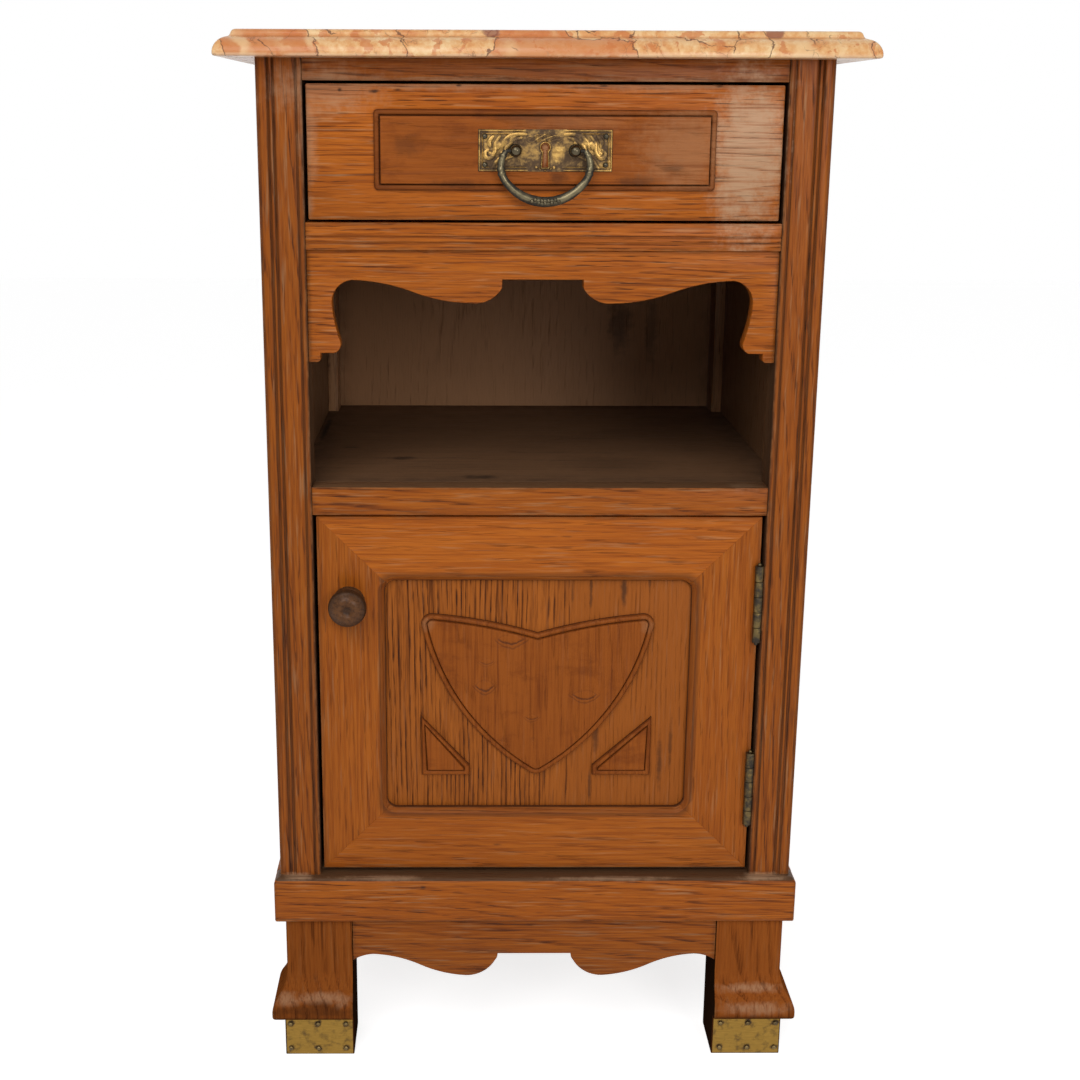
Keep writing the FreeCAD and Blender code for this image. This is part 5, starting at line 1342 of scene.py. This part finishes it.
def bailBeads(values):
    # a zigzag of beads along the bail's lowest stretch
    front = pullSpot["y"] - values["lowRadius"] * values["depth"] * 0.9 * mm
    spots = []
    for i in range(values["beads"]):
        x = (i - (values["beads"] - 1) / 2) * values["beadGap"]
        z = np.interp(abs(x), *bailMiddle.T) + (values["beadUp"] if i % 2 else values["beadDown"])
        spots.append((x * mm, front, pullSpot["level"] + z * mm))
    return spots


beads = headsOn(bailBeads(pull), "bailBeads", "stud", Radius=pull["beadRadius"] * mm,
                Flatness=pull["beadFlat"], Tilt=0.0, Seed=1)
settle("bailBeads", beads, "stud", "bail", slotOf["pull_bail"])

nails = {"foot_plate_nails": {"finish": "nail", "radius": 1.7, "flat": 0.7, "proud": 0.75},
         "backplate_pins": {"finish": "stud", "radius": 1.9, "flat": 0.7, "proud": 0.75}}
for node, values in nails.items():
    sunk = values["radius"] * values["flat"] * values["proud"] * mm
    spots = [((low[0] + high[0]) / 2, low[1] + sunk, (low[2] + high[2]) / 2) for low, high in islands(node)]
    mesh = headsOn(spots, pieceName(node), values["finish"], Radius=values["radius"] * mm,
                   Flatness=values["flat"], Tilt=0.16, Seed=5)
    settleFor(node, mesh, values["finish"])

backNails = {"aside": 176.0, "low": 190.0, "high": 745.0, "rows": 8, "top": 762.0, "topHalf": 120.0,
             "columns": 5, "radius": 2.4, "flat": 0.22, "proud": 0.1}


def backNailPlaces(values):
    # nails down both edges of the back and along its top
    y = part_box("back_panel")[1].y + values["proud"] * mm
    heights = np.linspace(values["low"], values["high"], values["rows"])
    spots = [(side * values["aside"] * mm, y, z * mm) for side in (-1, 1) for z in heights]
    return spots + [(x * mm, y, values["top"] * mm)
                    for x in np.linspace(-values["topHalf"], values["topHalf"], values["columns"])]


mesh = headsOn(backNailPlaces(backNails), "backNails", "iron", Radius=backNails["radius"] * mm,
               Flatness=backNails["flat"], Tilt=0.1, Seed=9)
settle("backNails", mesh, "iron", "carcass", "lock_iron")
print("pull and nails made")


# foot plates: thin sheet with small dents

footPlate = {"cell": 1.5, "dents": 9, "dentSize": (3, 8), "dentShare": (0.3, 1.0), "dent": 0.35,
             "edgeSunk": 0.3, "deepest": 0.75, "shine": 0.88, "nailShade": (1.6, 3.6)}


def makeFootPlates(values):
    wander = random.Random(5)
    shape = bmesh.new()
    for low, high in islands("foot_plates"):
        dents = [(wander.uniform(low[0], high[0]), wander.uniform(low[2], high[2]),
                  wander.uniform(*values["dentSize"]) * mm, wander.uniform(*values["dentShare"]))
                 for _ in range(values["dents"])]
        columns = round((high[0] - low[0]) / mm / values["cell"])
        rows = round((high[2] - low[2]) / mm / values["cell"])
        grid = []
        for row in range(rows + 1):
            for column in range(columns + 1):
                x = low[0] + (high[0] - low[0]) * column / columns
                z = low[2] + (high[2] - low[2]) * row / rows
                sink = sum(part * math.exp(-((x - a) ** 2 + (z - b) ** 2) / size ** 2)
                           for a, b, size, part in dents)
                edge = min(column, columns - column, row, rows - row) == 0
                sunk = min(values["deepest"], values["dent"] * sink + values["edgeSunk"] * edge)
                grid.append(shape.verts.new((x, low[1] + sunk * mm, z)))
        for row in range(rows):
            for column in range(columns):
                first = row * (columns + 1) + column
                shape.faces.new([grid[first + step] for step in (0, 1, columns + 2, columns + 1)])
        bmesh.ops.contextual_create(shape, geom=drawnBack(shape, high[1])[1])
    mesh = finished(shape, "footPlates", 45)
    at = places(mesh)
    shine = np.full(len(at), values["shine"])
    for low, high in islands("foot_plate_nails"):
        away = np.hypot(at[:, 0] - (low[0] + high[0]) / 2, at[:, 2] - (low[2] + high[2]) / 2) / mm
        shine = np.minimum(shine, np.interp(away, values["nailShade"], [0.0, values["shine"]]))
    spread(mesh, "relief", shine)
    settleFor("foot_plates", mesh, "plate")


makeFootPlates(footPlate)


# plain hardware: hinges, lock and latch, the hinge leaves with eased edges

hardware = {
    "upper_hinge_post_leaf": "hinge", "lower_hinge_post_leaf": "hinge", "upper_hinge_door_leaf": "hinge",
    "lower_hinge_door_leaf": "hinge", "hinge_pins": "hinge", "hinge_post_screws": "iron",
    "hinge_door_screws": "iron", "lock_case": "iron", "lock_bolt": "iron", "latch_tongue": "iron",
}
hardwareValues = {"leafEase": 0.35, "shine": 0.45}
for node, finish in hardware.items():
    ease = hardwareValues["leafEase"] * mm if node.endswith("leaf") else 0.0
    mesh = eased(meshFrom(merged(node), node), ease)
    spread(mesh, "relief", np.full(len(mesh.vertices), hardwareValues["shine"]))
    settleFor(node, mesh, finish)
print("hardware made:", len(hardware))


# floor, light and camera

stageValues = {"size": 12.0, "floor": (0.86, 0.86, 0.86), "floorLift": 0.76, "skyForLight": 0.235}
lamps = {"key": {"place": (-0.55, -1.75, 1.8), "aim": (0.0, 0.0, 0.5), "power": 20.0, "size": 1.3},
         "side": {"place": (0.72, -1.75, 0.95), "aim": (0.1, -0.1, 0.65), "power": 8.0, "size": 0.6}}
white = (1.0, 1.0, 1.0, 1.0)


def cameraSees(tree):
    # 1 for rays that show the background: seen, mirrored or through glass
    path = put(tree, "ShaderNodeLightPath").outputs
    return largest(*(Value(path[f"Is {ray} Ray"]) for ray in ("Camera", "Glossy", "Transmission")))


def makeFloor(values):
    half = values["size"] / 2
    shape = bmesh.new()
    corners = ((-half, -half), (half, -half), (half, half), (-half, half))
    shape.faces.new([shape.verts.new((x, y, 0.0)) for x, y in corners])
    floor = bpy.data.objects.new("floor", meshFrom(shape, "floor"))
    scene.collection.objects.link(floor)
    material, tree, surface = newMaterial("paleFloor")
    surface["Base Color"].default_value = (*values["floor"], 1.0)
    surface["Roughness"].default_value = 0.9
    surface["Specular IOR Level"].default_value = 0.1
    surface["Emission Color"].default_value = white
    link(cameraSees(tree) * values["floorLift"], surface["Emission Strength"])
    floor.data.materials.append(material)


def makeSky(values):
    world = bpy.data.worlds.new("studio")
    world.use_nodes = True
    scene.world = world
    tree = world.node_tree
    sky = tree.nodes["Background"]
    sky.inputs["Color"].default_value = white
    link(ranged(cameraSees(tree), 0.0, 1.0, values["skyForLight"], 1.0), sky.inputs["Strength"])


def makeLamp(name, values):
    lamp = bpy.data.lights.new(name, "AREA")
    lamp.energy = values["power"]
    lamp.size = values["size"]
    holder = bpy.data.objects.new(name, lamp)
    holder.location = values["place"]
    holder.rotation_euler = (Vector(values["aim"]) - holder.location).to_track_quat("-Z", "Y").to_euler()
    scene.collection.objects.link(holder)


cameraValues = {"place": (-0.05553, -1.29557, 0.73384), "pitch": 15.10, "yaw": 0.613, "roll": -0.225,
                "lens": 52.766, "sensor": 36.0, "shiftX": 0.0546, "shiftY": 0.0}


def makeCamera(values):
    pitch, yaw, roll = (math.radians(values[key]) for key in ("pitch", "yaw", "roll"))
    ahead = Vector((math.sin(yaw) * math.cos(pitch), math.cos(yaw) * math.cos(pitch), -math.sin(pitch)))
    right = Vector((math.cos(yaw), -math.sin(yaw), 0.0))
    down = ahead.cross(right)
    turnedRight = math.cos(roll) * right + math.sin(roll) * down
    turnedDown = math.cos(roll) * down - math.sin(roll) * right
    lens = bpy.data.cameras.new("photoCamera")
    lens.lens = values["lens"]
    lens.sensor_width = values["sensor"]
    lens.shift_x = values["shiftX"]
    lens.shift_y = values["shiftY"]
    camera = bpy.data.objects.new("photoCamera", lens)
    axes = Matrix((turnedRight, -turnedDown, -ahead)).transposed().to_4x4()
    camera.matrix_world = Matrix.Translation(values["place"]) @ axes
    scene.collection.objects.link(camera)
    scene.camera = camera


makeFloor(stageValues)
makeSky(stageValues)
for name, values in lamps.items():
    makeLamp(name, values)
makeCamera(cameraValues)
scene.view_settings.view_transform = "Standard"
print("stage set")
